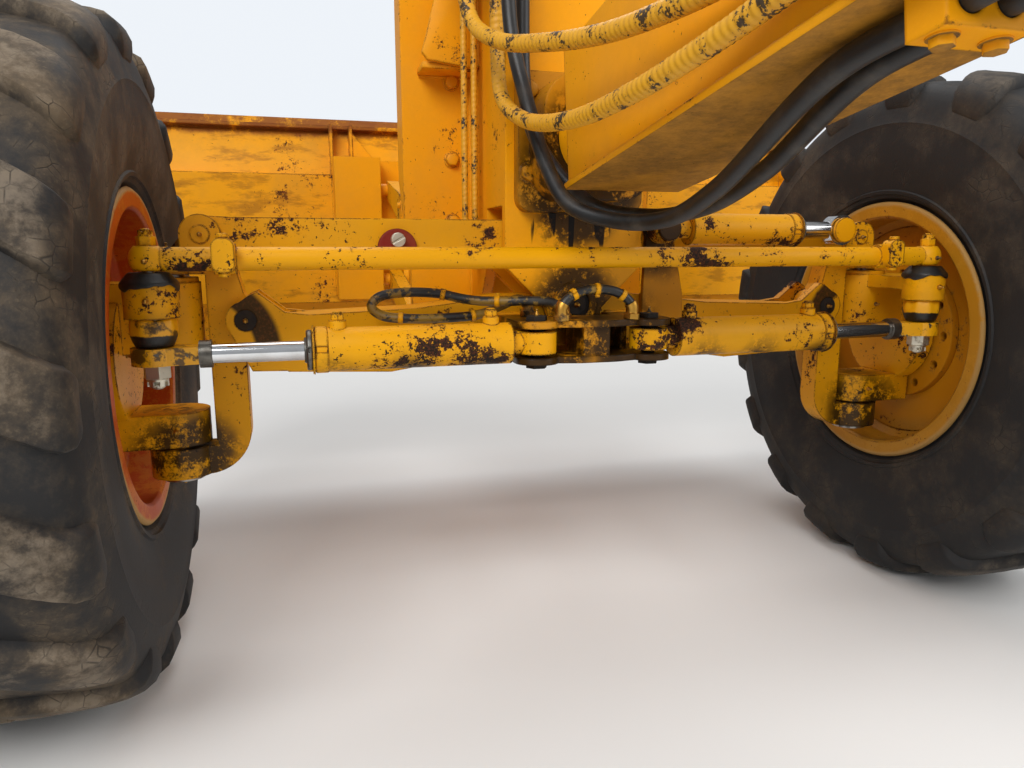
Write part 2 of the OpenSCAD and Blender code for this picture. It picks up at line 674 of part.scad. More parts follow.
// Steering cylinders: barrel on the axle's rear anchor, rod below the steering arm
steer_wall = 9;
base_eye_d = 84;
base_ball_d = 54;
base_eye_h = 46;
base_pin_d = 30;
module steer_barrel(right) {
  inner = steer_barrel_d - 2 * steer_wall;
  color(paint) on_side(right) translate([0, -rear_y, steer_z]) difference() {
    union() {
      bar_x_dir(-steer_barrel_end, -steer_base_x - 60, steer_barrel_d);
      bar_x_dir(-steer_base_x - 66, -steer_base_x, 50);
      translate([-steer_base_x, 0, -base_eye_h / 2]) cylinder(h = base_eye_h, d = base_eye_d, $fn = 64);
      translate([-steer_base_x - 100, 0, steer_barrel_d / 2 - 8]) cylinder(h = 22, d = 34, $fn = 32);
      translate([-steer_barrel_end + 50, 0, steer_barrel_d / 2 - 8]) cylinder(h = 22, d = 34, $fn = 32);
    }
    translate([-steer_base_x, 0, 0]) {
      sphere(d = base_ball_d + 2 * seat, $fn = 48);
      translate([0, 0, -base_eye_h]) cylinder(h = 2 * base_eye_h, d = base_ball_d - 12, $fn = 48);
    }
    bar_x_dir(-steer_barrel_end + 40, -steer_base_x - 80, inner);
    bar_x_dir(-steer_barrel_end - 1, -steer_barrel_end + 46, steer_rod_d + 2 * fit);
  }
}
module steer_barrel_l() steer_barrel(false);
module steer_barrel_r() steer_barrel(true);

module steer_rod(right) {
  inner = steer_barrel_d - 2 * steer_wall;
  color(steel) on_side(right) translate([0, -rear_y, steer_z]) {
    bar_x_dir(-king_x + 96, -steer_base_x - 240, steer_rod_d);
    bar_x_dir(-steer_base_x - 270, -steer_base_x - 236, inner - 2 * fit);
    translate([-king_x, 0, -steer_eye_t / 2]) linear_extrude(height = steer_eye_t) {
      circle(d = steer_eye_d, $fn = 64);
      polygon([[0, -steer_eye_d / 2 + 2], [80, -22], [80, 22], [0, steer_eye_d / 2 - 2]]);
    }
    bar_x_dir(-king_x + 76, -king_x + 98, steer_rod_d + 14);
  }
}
module steer_rod_l() steer_rod(false);
module steer_rod_r() steer_rod(true);

// Anchor of the steering cylinders behind the axle: two shelves, a web and the ball pins
shelf_t = 14;
anchor_z0 = steer_z - base_eye_h / 2 - 8 - shelf_t;
anchor_z1 = steer_z + base_eye_h / 2 + 8;
// Notch of the upper shelf round the nose's rear ear
ear_notch = 82;
ear_notch_y = 120;
module steer_anchor() {
  half_w = steer_base_x + 46;
  color(paint) {
    for (z = [anchor_z0, anchor_z1]) translate([0, 0, z]) difference() {
      linear_extrude(height = shelf_t) {
        polygon([[-half_w, -fork_out - seat], [-half_w, -rear_y], [-40, -rear_y - 34],
                 [40, -rear_y - 34], [half_w, -rear_y], [half_w, -fork_out - seat]]);
        for (s = [-1, 1]) translate([s * steer_base_x, -rear_y]) circle(r = 46, $fn = 64);
      }
      for (s = [-1, 1]) translate([s * steer_base_x, -rear_y, -1])
        cylinder(h = shelf_t + 2, d = base_pin_d + 2 * fit, $fn = 40);
      if (z > steer_z) translate([-ear_notch, -ear_notch_y, -1]) cube([2 * ear_notch, ear_notch_y, shelf_t + 2]);
    }
    for (s = [-1, 1]) translate([s * (ear_notch + 14), 0, 0])
      span_box([-7, -rear_y + 56, anchor_z0 + sink], [7, -fork_out - seat, anchor_z1 + sink]);
    span_box([-30, -rear_y - 20, anchor_z0 + sink], [30, -ear_notch_y - 2, anchor_z1 + sink]);
  }
}
module steer_pins() {
  for (s = [-1, 1]) translate([s * steer_base_x, -rear_y, 0]) {
    translate([0, 0, anchor_z0 - 4]) cylinder(h = anchor_z1 - anchor_z0 + shelf_t + 8, d = base_pin_d, $fn = 40);
    translate([0, 0, steer_z]) sphere(d = base_ball_d, $fn = 48);
    translate([0, 0, anchor_z1 + shelf_t + seat]) cylinder(h = 10, d = base_pin_d + 16, $fn = 6);
    translate([0, 0, anchor_z0 - 10 - seat]) cylinder(h = 10, d = base_pin_d + 16, $fn = 6);
  }
}

// Axle beam: box section with its centre boss and the forks that hold the yokes
module axle_outline() {
  for (m = [0, 1]) mirror([m, 0])
    polygon([[0, beam_low_z], [-180, beam_low_z], [-420, beam_low_z - 36], [-beam_len / 2, beam_low_z - 26],
             [-beam_len / 2, beam_top_z - 34], [-360, beam_top_z - 24], [-160, beam_top_z], [0, beam_top_z]]);
}
module fork_outline() {
  for (m = [0, 1]) mirror([m, 0]) {
    polygon([[-beam_len / 2 + 60, beam_low_z - 26], [-lean_x + 8, beam_low_z - 22],
             [-lean_x - 34, lean_z - 20], [-lean_x - 14, lean_z + 36], [-lean_x + 8, lean_z + 52],
             [-lean_x + 26, lean_z + 60], [-lean_x + yoke_room, beam_top_z - 26],
             [-beam_len / 2 + 60, beam_top_z - 34]]);
    translate([-lean_x, lean_z]) circle(d = lean_boss_d, $fn = 64);
  }
}
module axle_beam() {
  color(paint) difference() {
    union() {
      plate_xz(-fork_out, fork_out) axle_outline();
      for (s = [-1, 1]) plate_xz(s > 0 ? fork_in : -fork_out, s > 0 ? fork_out : -fork_in) fork_outline();
      translate([0, 0, pivot_z]) bar_y_dir(-fork_out, fork_out, pivot_d + 60);
    }
    translate([0, 0, pivot_z]) bar_y_dir(-fork_out - 1, fork_out + 1, pivot_d + 2 * fit);
    for (s = [-1, 1]) translate([s * lean_x, 0, lean_z])
      bar_y_dir(-fork_out - 1, fork_out + 1, lean_pin_d + 2 * fit);
    span_box([-beam_len / 2 + 80, -fork_out + 16, beam_low_z + 10],
             [-pivot_d - 60, fork_out - 16, beam_top_z - 50]);
    span_box([pivot_d + 60, -fork_out + 16, beam_low_z + 10],
             [beam_len / 2 - 80, fork_out - 16, beam_top_z - 50]);
  }
}

// Pins of the axle: centre pin, both lean pins and the steering base pins
module pivot_pins() {
  cap = 8;
  color(steel) {
    translate([0, 0, pivot_z]) {
      bar_y_dir(-ear_y - nose_wall - 6, ear_y + nose_wall + 6, pivot_d);
      bar_y_dir(-ear_y - nose_wall - 6 - cap, -ear_y - nose_wall - 5, pivot_d - 24);
    }
    for (s = [-1, 1]) translate([s * lean_x, 0, lean_z]) {
      bar_y_dir(-fork_out - 2, fork_out + 2, lean_pin_d);
    }
    steer_pins();
  }
}

// Bracket of the lean cylinder on the axle beam
module lean_bracket() {
  color(paint) difference() {
    union() {
      plate_xz(-lean_cyl_y + 27, -lean_cyl_y + 39) polygon([
        [lean_base_x - 36, beam_top_z - 6], [lean_base_x + 70, beam_top_z - 6],
        [lean_base_x + 34, lean_cyl_z + 10], [lean_base_x - 30, lean_cyl_z + 20]]);
      span_box([lean_base_x - 36, -lean_cyl_y + 27, beam_top_z - 60],
               [lean_base_x + 70, -fork_out - seat, beam_top_z]);
      translate([lean_base_x, 0, lean_cyl_z]) bar_y_dir(-lean_cyl_y + 27, -lean_cyl_y + 39, 70);
    }
  }
  color(steel) translate([lean_base_x, 0, lean_cyl_z]) {
    bar_y_dir(-lean_cyl_y - 30, -lean_cyl_y + 29, 36);
    bar_y_dir(-lean_cyl_y - 34, -lean_cyl_y - 24, 54);
  }
}

// Frame nose: hollow box column whose two ears reach down over the axle
module nose_frame() {
  half = nose_w / 2;
  color(paint) difference() {
    union() {
      span_box([-half, nose_y0, nose_box_z], [half, plate_y, nose_top_z]);
      for (f = [-1, 1]) plate_xz(f < 0 ? nose_y0 : ear_y, f < 0 ? -ear_y : ear_y + nose_wall) {
        polygon([[-half, nose_box_z + 4], [-half, 868], [-66, pivot_z - 10], [66, pivot_z - 10],
                 [half, 868], [half, nose_box_z + 4]]);
        translate([0, pivot_z]) circle(r = 68, $fn = 64);
      }
      translate([0, 0, pivot_z]) bar_y_dir(nose_y0 - 10, -ear_y, pivot_d + 32);
      for (s = [-1, 1]) translate([s * (half - 13), 0, 0])
        plate_yz(-13, 13) polygon([[ear_y, nose_box_z + 4], [ear_y, 870], [plate_y, 640], [plate_y, nose_box_z + 4]]);
    }
    span_box([-half + nose_wall, nose_y0 + nose_wall, nose_box_z + nose_wall],
             [half - nose_wall, plate_y - nose_wall, nose_top_z - nose_wall]);
    translate([0, 0, pivot_z]) bar_y_dir(nose_y0 - 20, ear_y + nose_wall + 1, pivot_d + 2 * fit);
  }
}

// Front mounting plate with wings, ribs and the ears of the lift linkage
plate_y1 = plate_y + seat + plate_t;
ear_len = lift_y - plate_y1;
module front_plate() {
  half = plate_w / 2;
  y0 = plate_y + seat;
  low = lift_low_z - 30;
  color(sun_paint) difference() {
    union() {
      plate_xz(y0, plate_y1) polygon([
        [-half, 980], [-half, nose_top_z - 20], [half, nose_top_z - 20], [half, 980], [lift_x + 40, 900],
        [lift_x + 40, low], [-lift_x - 40, low], [-lift_x - 40, 900]]);
      for (s = [-1, 1]) for (z = [lift_low_z, lift_low_z + lift_gap]) for (e = [-1, 1])
        translate([s * lift_x + e * (lift_arm_t / 2 + 6 + 9), 0, 0]) plate_yz(-9, 9) {
          polygon([[plate_y1 - sink, z - 30], [lift_y, z - 34], [lift_y, z + 34], [plate_y1 - sink, z + 60]]);
          translate([lift_y, z]) circle(r = 36, $fn = 64);
        }
      for (s = [-1, 1]) translate([s * (half - 8), 0, 0]) plate_yz(-8, 8)
        polygon([[plate_y1 - sink, 990], [plate_y1 + 60, 1080], [plate_y1 + 60, nose_top_z - 80],
                 [plate_y1 - sink, nose_top_z - 20]]);
      for (e = [-1, 1]) translate([e * 42, 0, 0]) plate_yz(-10, 10) {
        polygon([[plate_y1 - sink, lift_top_z - 110], [lift_top_y, lift_top_z - 40],
                 [lift_top_y, lift_top_z + 40], [plate_y1 - sink, lift_top_z + 90]]);
        translate([lift_top_y, lift_top_z]) circle(r = 42, $fn = 64);
      }
    }
    for (s = [-1, 1]) for (z = [lift_low_z, lift_low_z + lift_gap])
      translate([s * lift_x - 60, lift_y, z]) bar_x_dir(0, 120, lift_pin_d + 2 * fit);
    translate([-60, lift_top_y, lift_top_z]) bar_x_dir(0, 120, lift_pin_d + 2 * fit);
  }
  color(steel) {
    for (s = [-1, 1]) for (z = [lift_low_z, lift_low_z + lift_gap]) translate([s * lift_x, lift_y, z]) {
      bar_x_dir(-lift_arm_t / 2 - 32, lift_arm_t / 2 + 32, lift_pin_d);
    }
    translate([0, lift_top_y, lift_top_z]) bar_x_dir(-62, 62, lift_pin_d);
  }
}

// Drawbar tongue with its ball, seen here up to a closed end face
ball_y = nose_y0 - seat - ball_d / 2 - 8;
tongue_lip = 9;
module drawbar_tongue() {
  neck = 150;
  color(sun_paint) difference() {
    translate([0, ball_y, ball_z]) rotate([-tongue_rise, 0, 0]) {
      sphere(d = ball_d, $fn = 64);
      translate([0, -neck, 0]) bar_y_dir(0, neck, ball_d - 60);
      span_box([-tongue_w / 2, -tongue_end_y, -tongue_h / 2], [tongue_w / 2, -neck + 20, tongue_h / 2]);
      span_box([-tongue_w / 2 - tongue_lip, -tongue_end_y, -tongue_h / 2 - tongue_lip],
               [tongue_w / 2 + tongue_lip, -neck + 20, -tongue_h / 2 + sink]);
    }
    span_box([-tongue_w, -2 * tongue_end_y, 0], [tongue_w, -tongue_end_y, 2 * ball_z]);
  }
}

// Bolted collar that holds the drawbar's ball on the nose
collar_depth = ball_d / 2 + 40;
collar_bolts = [[-1, 0.82], [1, 0.82], [-1, -0.5], [1, -0.5]];
module rounded_plate(w, h, r) {
  square([w - 2 * r, h], center = true);
  square([w, h - 2 * r], center = true);
  for (sx = [-1, 1]) for (sy = [-1, 1])
    translate([sx * (w / 2 - r), sy * (h / 2 - r)]) circle(r = r, $fn = 48);
}
module ball_collar() {
  y1 = nose_y0 - seat;
  color(paint) difference() {
    union() {
      plate_xz(y1 - collar_depth, y1) translate([0, ball_z]) rounded_plate(collar_w - 50, collar_h - 40, 70);
      plate_xz(y1 - 34, y1) translate([0, ball_z]) rounded_plate(collar_w, collar_h, 30);
    }
    translate([0, ball_y, ball_z]) rotate([90, 0, 0]) sphere(d = ball_d + 2 * seat, $fn = 64);
  }
  color(steel) for (b = collar_bolts)
    translate([b[0] * (collar_w / 2 - 22), y1 - 34 + 1, ball_z + b[1] * (collar_h / 2 - 18)])
      rotate([90, 0, 0]) cylinder(h = 17, d = 30, $fn = 6);
}

// Lift linkage of the blade: arms with a cross tube, upper links, cylinder
function lift_point(a, b, turn = 0) =
  [lift_y + a * cos(lift_rest + turn) - b * sin(lift_rest + turn),
   lift_low_z + a * sin(lift_rest + turn) + b * cos(lift_rest + turn)];
cross_a = 330;
cross_d = 84;
lug_b = 125;
module arm_plate(width) {
  plate_yz(-lift_arm_t / 2, lift_arm_t / 2) difference() {
    union() {
      for (a = [0, lift_arm]) translate([a, 0]) circle(r = width / 2 - 2, $fn = 64);
      polygon([[0, -width / 2 + 2], [lift_arm * 0.4, -width / 2 - 12], [lift_arm, -width / 2 + 2],
               [lift_arm, width / 2 - 2], [lift_arm * 0.5, width / 2 + 12], [0, width / 2 - 2]]);
    }
    for (a = [0, lift_arm]) translate([a, 0]) circle(d = lift_pin_d + 2 * fit, $fn = 64);
  }
}
module lift_arms() {
  color(paint) translate([0, lift_y, lift_low_z]) rotate([lift_rest, 0, 0]) {
    for (s = [-1, 1]) translate([s * lift_x, 0, 0]) arm_plate(72);
    translate([0, cross_a, 0]) bar_x_dir(-lift_x, lift_x, cross_d);
    for (e = [-1, 1]) translate([e * 38, 0, 0]) plate_yz(-9, 9) {
      polygon([[cross_a - 60, 10], [cross_a + 60, 10], [cross_a + 40, lug_b], [cross_a - 40, lug_b]]);
      translate([cross_a, lug_b]) circle(r = 42, $fn = 64);
    }
    for (e = [-1, 1]) translate([e * 50, cross_a, lug_b]) bar_x_dir(-8, 8, lift_pin_d + 16);
  }
}
module lift_links() {
  color(paint) for (s = [-1, 1]) translate([s * lift_x, lift_y, lift_low_z + lift_gap])
    rotate([lift_rest, 0, 0]) arm_plate(62);
}
lug_at = lift_point(cross_a, lug_b);
lift_vec = [lug_at[0] - lift_top_y, lug_at[1] - lift_top_z];
lift_len = norm(lift_vec);
lift_lean = atan2(lift_vec[0], -lift_vec[1]);
lift_body = 560;
module along_lift_cylinder() {
  translate([0, lift_top_y, lift_top_z]) rotate([lift_lean, 0, 0]) children();
}
module lift_barrel() {
  color(sun_paint) along_lift_cylinder() difference() {
    union() {
      translate([0, 0, -lift_body]) cylinder(h = lift_body - 52, d = lift_barrel_d, $fn = 64);
      translate([0, 0, -60]) cylinder(h = 60, d = 56, $fn = 48);
      bar_x_dir(-26, 26, 78);
    }
    bar_x_dir(-40, 40, lift_pin_d + 2 * fit);
    translate([0, 0, -lift_body + 44]) cylinder(h = lift_body - 130, d = lift_barrel_d - 20, $fn = 64);
    translate([0, 0, -lift_body - 1]) cylinder(h = 60, d = lift_rod_d + 2 * fit, $fn = 64);
  }
}
module lift_rod() {
  piston_z = -lift_len + 500;
  color(steel) along_lift_cylinder() {
    translate([0, 0, -lift_len + 20]) cylinder(h = 490, d = lift_rod_d, $fn = 48);
    translate([0, 0, piston_z - 20]) cylinder(h = 30, d = lift_barrel_d - 20 - 2 * fit, $fn = 64);
    translate([0, 0, -lift_len]) bar_x_dir(-23, 23, 72);
  }
}

// Push blade: curved plate with its ribs, bolted cutting edge, and the carrier behind it
blade_mid_z = blade_low_z + blade_h / 2;
blade_yc = blade_back_y + blade_r;
edge_drop = 40;
module blade_arc(r_out, r_in, z0, z1) {
  plate_yz(-blade_w / 2, blade_w / 2) intersection() {
    translate([blade_yc, blade_mid_z]) difference() {
      circle(r = r_out, $fn = 180);
      circle(r = r_in, $fn = 180);
    }
    translate([blade_back_y - 20, z0]) square([240, z1 - z0]);
  }
}
// Flat skin behind the curved plate, and the channels above the carrier
skin_y = blade_back_y - 6;
skin_half = 217;
end_rib_x = blade_w / 2 - 55;
channel_x = [412, 478];
module behind_blade(x0, x1, y0, z0, z1) {
  plate_yz(x0, x1) difference() {
    translate([y0, z0]) square([blade_back_y + 160 - y0, z1 - z0]);
    translate([blade_yc, blade_mid_z]) circle(r = blade_r - 2, $fn = 180);
  }
}
module blade_plate() {
  top = blade_low_z + blade_h;
  color(sun_paint) {
    blade_arc(blade_r, blade_r - blade_t, blade_low_z + edge_drop, top);
    behind_blade(-blade_w / 2, blade_w / 2, 1040, top - 40, top - 28);
    behind_blade(-blade_w / 2, blade_w / 2, skin_y, blade_mid_z - skin_half, blade_mid_z + skin_half);
    for (s = [-1, 1]) {
      behind_blade(s * end_rib_x - 8, s * end_rib_x + 8, blade_back_y - 40, blade_low_z + 60, top - 30);
      for (x = channel_x) behind_blade(s * x - 5, s * x + 5, 996, blade_mid_z + skin_half - sink, top - 30);
      plate_xz(1000, 1010) polygon([[s * channel_x[0], top - 50], [s * (channel_x[0] - 90), blade_mid_z + skin_half + 40],
                                    [s * (channel_x[0] - 90), blade_mid_z + skin_half - sink],
                                    [s * channel_x[0], blade_mid_z + skin_half - sink]]);
    }
  }
}
module blade_edge() {
  r = blade_r - blade_t - seat;
  color(steel) blade_arc(r, r - edge_t, blade_low_z, blade_low_z + edge_h);
}
column_w = 150;
carrier_in = lift_x + lift_arm_t / 2 + 24;
module blade_carrier() {
  pin = lift_point(lift_arm, 0);
  back = pin[0] - 44;
  color(paint) difference() {
    union() {
      for (s = [-1, 1]) plate_yz(s > 0 ? carrier_in : -carrier_in - column_w,
                                 s > 0 ? carrier_in + column_w : -carrier_in) {
        translate([back, pin[1] - 65]) square([skin_y - seat - back, lift_gap + 165]);
      }
      plate_yz(-carrier_in - sink, carrier_in + sink)
        translate([pin[0] + 48, pin[1] - 65]) square([24, lift_gap + 165]);
      for (s = [-1, 1]) for (z = [pin[1], pin[1] + lift_gap])
        translate([s * (lift_x - lift_arm_t / 2 - 15), 0, 0]) plate_yz(-9, 9) {
          translate([pin[0], z]) circle(r = 38, $fn = 64);
          translate([pin[0], z - 38]) square([60, 76]);
        }
    }
    translate([0, blade_yc, blade_mid_z]) bar_x_dir(-blade_w / 2, blade_w / 2, 2 * (blade_r + seat));
    for (z = [pin[1], pin[1] + lift_gap]) for (s = [-1, 1])
      translate([s * lift_x, pin[0], z]) bar_x_dir(-60, 60, lift_pin_d + 2 * fit);
  }
  color(steel) for (z = [pin[1], pin[1] + lift_gap]) for (s = [-1, 1])
    translate([s * lift_x, pin[0], z]) bar_x_dir(-lift_arm_t / 2 - 28, lift_arm_t / 2 + 28, lift_pin_d);
}

// Hoses: routes chosen by hand, in the frame of the modules. Along the tongue they lie
// in lanes, given as X and height in the tongue's own sloping frame
function on_tongue(x, y, z) =
  [x, ball_y + y * cos(tongue_rise) + z * sin(tongue_rise),
   ball_z - y * sin(tongue_rise) + z * cos(tongue_rise)];
function lane(l) = [for (y = [-800, -950, -1100]) on_tongue(l[0], y, l[1])];
wrap_lane_a = [-134, -46];
wrap_lane_b = [-134, -90];
thick_lane_a = [-20, -155];
thick_lane_b = [-62, -155];
wrap_route_a = concat([
  [-280, -200, 1600], [-280, -200, 1480], [-278, -205, 1400], [-268, -235, 1330], [-245, -330, 1275],
  [-205, -490, 1235], [-165, -700, 1205]], lane(wrap_lane_a));
wrap_route_b = concat([
  [-205, -180, 1600], [-205, -180, 1420], [-206, -186, 1290], [-208, -225, 1200], [-196, -330, 1142],
  [-175, -520, 1112], [-158, -740, 1118]], lane(wrap_lane_b));
thick_route_a = concat([
  [-150, -170, 1600], [-150, -172, 1400], [-150, -190, 1220], [-140, -250, 1110], [-60, -345, 988],
  [20, -420, 966], [52, -560, 975], [40, -740, 1015]], lane(thick_lane_a));
thick_route_b = concat([
  [-195, -225, 1600], [-192, -232, 1330], [-168, -285, 1160], [-150, -332, 1060], [-126, -395, 985],
  [-66, -470, 955], [-26, -580, 955], [-24, -720, 990]], lane(thick_lane_b));
module wrapped_hoses() {
  color(sun_paint) for (route = [wrap_route_a, wrap_route_b]) tube_along(route, wrap_d);
}
module black_hoses() {
  color(rubber) for (route = [thick_route_a, thick_route_b]) tube_along(route, thick_d);
}
shelf_top = anchor_z1 + shelf_t + seat;
axle_route_a = [[-60, -186, shelf_top], [-60, -186, 776], [-84, -184, 791], [-130, -178, 796],
                [-190, -162, 795], [-240, -142, 796], [-275, -124, 801], [-320, -112, 811],
                [-400, -110, 814], [-450, -110, 804], [-464, -112, 786], [-446, -116, 768],
                [-390, -126, 760], [-300, -130, 760], [-230, -128, 766], [-180, -124, 784],
                [-140, -114, 796], [-118, -112, 784], [-118, -112, shelf_top]];
axle_route_b = [[-80, -232, shelf_top], [-80, -232, 786], [-52, -230, 812], [0, -228, 822],
                [52, -230, 812], [80, -232, 786], [80, -232, shelf_top]];
module axle_hoses() {
  color(rubber) for (route = [axle_route_a, axle_route_b]) tube_along(route, axle_hose_d);
}
mast_d = 16;
mast_x = nose_w / 2 + 25;
mast_y = 90;
mast_foot_z = 920;
module mast_hoses() {
  color(sun_paint) for (x = [mast_x, mast_x + 24])
    tube_along([for (z = [1600, 1400, 1150, mast_foot_z]) [-x, mast_y, z]], mast_d);
}

// Upper hose bulkhead, lower bulkhead of the small hoses, and the clamp blocks on the tongue
bulkhead_z = 1600 + seat;
clamp_y = 960;
module hose_clamps() {
  side = -nose_w / 2 - seat;
  color(sun_paint) {
    span_box([-nose_w / 2 - 145, -250, bulkhead_z], [-nose_w / 2 + 32, -145, nose_top_z]);
    span_box([-nose_w / 2 - 145, -150, bulkhead_z], [side, mast_y + 18, nose_top_z]);
    span_box([-mast_x - 38, mast_y - 16, mast_foot_z - 22], [side, mast_y + 16, mast_foot_z - seat]);
    translate([0, ball_y, ball_z]) rotate([-tongue_rise, 0, 0]) difference() {
      union() {
        span_box([-tongue_w / 2 - 46, -clamp_y, -116], [-tongue_w / 2 - seat, -clamp_y + 44, -20]);
        span_box([-88, -clamp_y, -180], [6, -clamp_y + 44, -tongue_h / 2 - tongue_lip - seat]);
      }
      for (l = [wrap_lane_a, wrap_lane_b, thick_lane_a, thick_lane_b])
        translate([l[0], -clamp_y - 10, l[1]]) bar_y_dir(0, 64, thick_d + 2 * seat);
    }
  }
}

// The whole part, with its origin at the middle of the nose's upper end face
module placed() {
  translate([0, -nose_mid_y, -nose_top_z]) children();
}

placed() nose_frame();
placed() front_plate();
placed() ball_collar();
placed() drawbar_tongue();
placed() axle_beam();
placed() pivot_pins();
placed() steer_anchor();
placed() lean_bracket();
placed() hose_clamps();
placed() yoke_l();
placed() yoke_r();
placed() kingpin_l();
placed() kingpin_r();
placed() knuckle_l();
placed() knuckle_r();
placed() boots_l();
placed() boots_r();
placed() hub_l();
placed() hub_r();
placed() rim_l();
placed() rim_r();
placed() tyre_l();
placed() tyre_r();
placed() lean_bar();
placed() lock_plate();
placed() lean_barrel();
placed() lean_rod();
placed() tie_ball();
placed() tie_rod();
placed() steer_barrel_l();
placed() steer_barrel_r();
placed() steer_rod_l();
placed() steer_rod_r();
placed() lift_arms();
placed() lift_links();
placed() lift_barrel();
placed() lift_rod();
placed() blade_plate();
placed() blade_edge();
placed() blade_carrier();
placed() wrapped_hoses();
placed() black_hoses();
placed() axle_hoses();
placed() mast_hoses();
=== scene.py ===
"""Looks of the motor grader's front end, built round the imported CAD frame."""

import json
import math
import random

import bpy
from bpy.props import FloatProperty, FloatVectorProperty, PointerProperty
from mathutils import Matrix, Vector


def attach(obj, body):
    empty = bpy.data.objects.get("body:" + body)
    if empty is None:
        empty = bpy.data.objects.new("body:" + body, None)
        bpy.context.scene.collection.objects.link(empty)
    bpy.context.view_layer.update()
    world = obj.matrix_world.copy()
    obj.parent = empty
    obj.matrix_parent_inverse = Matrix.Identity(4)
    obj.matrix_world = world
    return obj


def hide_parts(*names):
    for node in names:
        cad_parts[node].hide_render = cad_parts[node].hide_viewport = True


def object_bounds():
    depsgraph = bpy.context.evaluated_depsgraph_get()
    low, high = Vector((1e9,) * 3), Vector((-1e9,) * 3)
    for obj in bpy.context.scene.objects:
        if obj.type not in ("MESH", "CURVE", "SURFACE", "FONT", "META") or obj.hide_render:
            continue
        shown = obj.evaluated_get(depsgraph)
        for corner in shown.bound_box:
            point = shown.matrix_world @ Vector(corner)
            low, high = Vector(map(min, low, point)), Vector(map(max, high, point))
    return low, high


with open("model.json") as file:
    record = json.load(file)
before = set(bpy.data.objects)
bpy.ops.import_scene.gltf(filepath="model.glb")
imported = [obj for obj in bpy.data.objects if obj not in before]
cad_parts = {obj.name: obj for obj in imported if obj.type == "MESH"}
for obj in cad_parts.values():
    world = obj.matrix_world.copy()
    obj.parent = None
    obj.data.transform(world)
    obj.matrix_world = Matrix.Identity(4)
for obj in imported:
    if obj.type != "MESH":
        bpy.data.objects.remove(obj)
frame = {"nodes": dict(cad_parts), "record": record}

bl_info = {
    "name": "Motor grader front end",
    "version": (1, 0, 0),
    "blender": (4, 5, 0),
    "location": "3D View > Sidebar > Grader",
    "description": "Paints and dresses the front end of a motor grader",
    "category": "Object",
}

CAD_LOW, CAD_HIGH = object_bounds()

# ---- places, in the machine's metres

# The machine's own coordinates have the ground at 0 and the axle at Y 0; the row's frame has
# its origin at the frame nose's upper end
NOSE_MID_Y = 0.073
NOSE_TOP_Z = 1.62
SIDES = (-1, 1)
BACK, AHEAD = Vector((0, -1, 0)), Vector((0, 1, 0))
UP, DOWN = Vector((0, 0, 1)), Vector((0, 0, -1))
KING_X = 0.87
ARM_Y = -0.215
WHEEL_X = 1.12
WHEEL_Z = 0.68
TIE_Z = 0.888
STEER_Z = 0.712
LEAN_Y, LEAN_Z = -0.106, 0.951
LIFT_TOP = (0.372, 1.44)
LIFT_LEAN = math.radians(24.02)
BALL = (-0.1973, 1.13)
TONGUE_RISE = math.radians(8.3)


def at(x, y, z):
    """A point given in the machine's own coordinates, in metres, in the row's frame."""
    return Vector((x, y - NOSE_MID_Y, z - NOSE_TOP_Z))


def on_tongue(x, y, z):
    """A point given in the drawbar tongue's own sloping frame."""
    return (x, BALL[0] + y * math.cos(TONGUE_RISE) + z * math.sin(TONGUE_RISE),
            BALL[1] - y * math.sin(TONGUE_RISE) + z * math.cos(TONGUE_RISE))


def side_name(stem, side):
    return stem + ("_l" if side < 0 else "_r")


# ---- shader maths

FINISHES = {}


def rgb(hex_colour):
    """Linear colour from a plain six-digit sRGB one."""
    channels = [int(hex_colour[i:i + 2], 16) / 255 for i in (0, 2, 4)]
    return tuple(c / 12.92 if c < 0.04045 else ((c + 0.055) / 1.055) ** 2.4 for c in channels) + (1.0,)


class Value:
    """A socket whose operators add Math nodes."""

    def __init__(self, finish, socket):
        self.finish = finish
        self.socket = socket

    def _math(self, operation, *values, clamp=False):
        return self.finish.node("ShaderNodeMath", {"operation": operation, "use_clamp": clamp}, *values)

    def __add__(self, other):
        return self._math("ADD", self, other)

    def __sub__(self, other):
        return self._math("SUBTRACT", self, other)

    def __rsub__(self, other):
        return self._math("SUBTRACT", other, self)

    def __mul__(self, other):
        return self._math("MULTIPLY", self, other)

    __radd__ = __add__
    __rmul__ = __mul__

    def high(self, other):
        return self._math("MAXIMUM", self, other)

    def size(self):
        return self._math("ABSOLUTE", self)

    def root(self):
        return self._math("SQRT", self)

    def clamped(self):
        return self._math("MULTIPLY", self, 1.0, clamp=True)

    def step(self, low, high):
        """0 below low and 1 above high, smooth in between."""
        return self.finish.node(
            "ShaderNodeMapRange", {"interpolation_type": "SMOOTHSTEP"}, self, low, high, 0.0, 1.0)


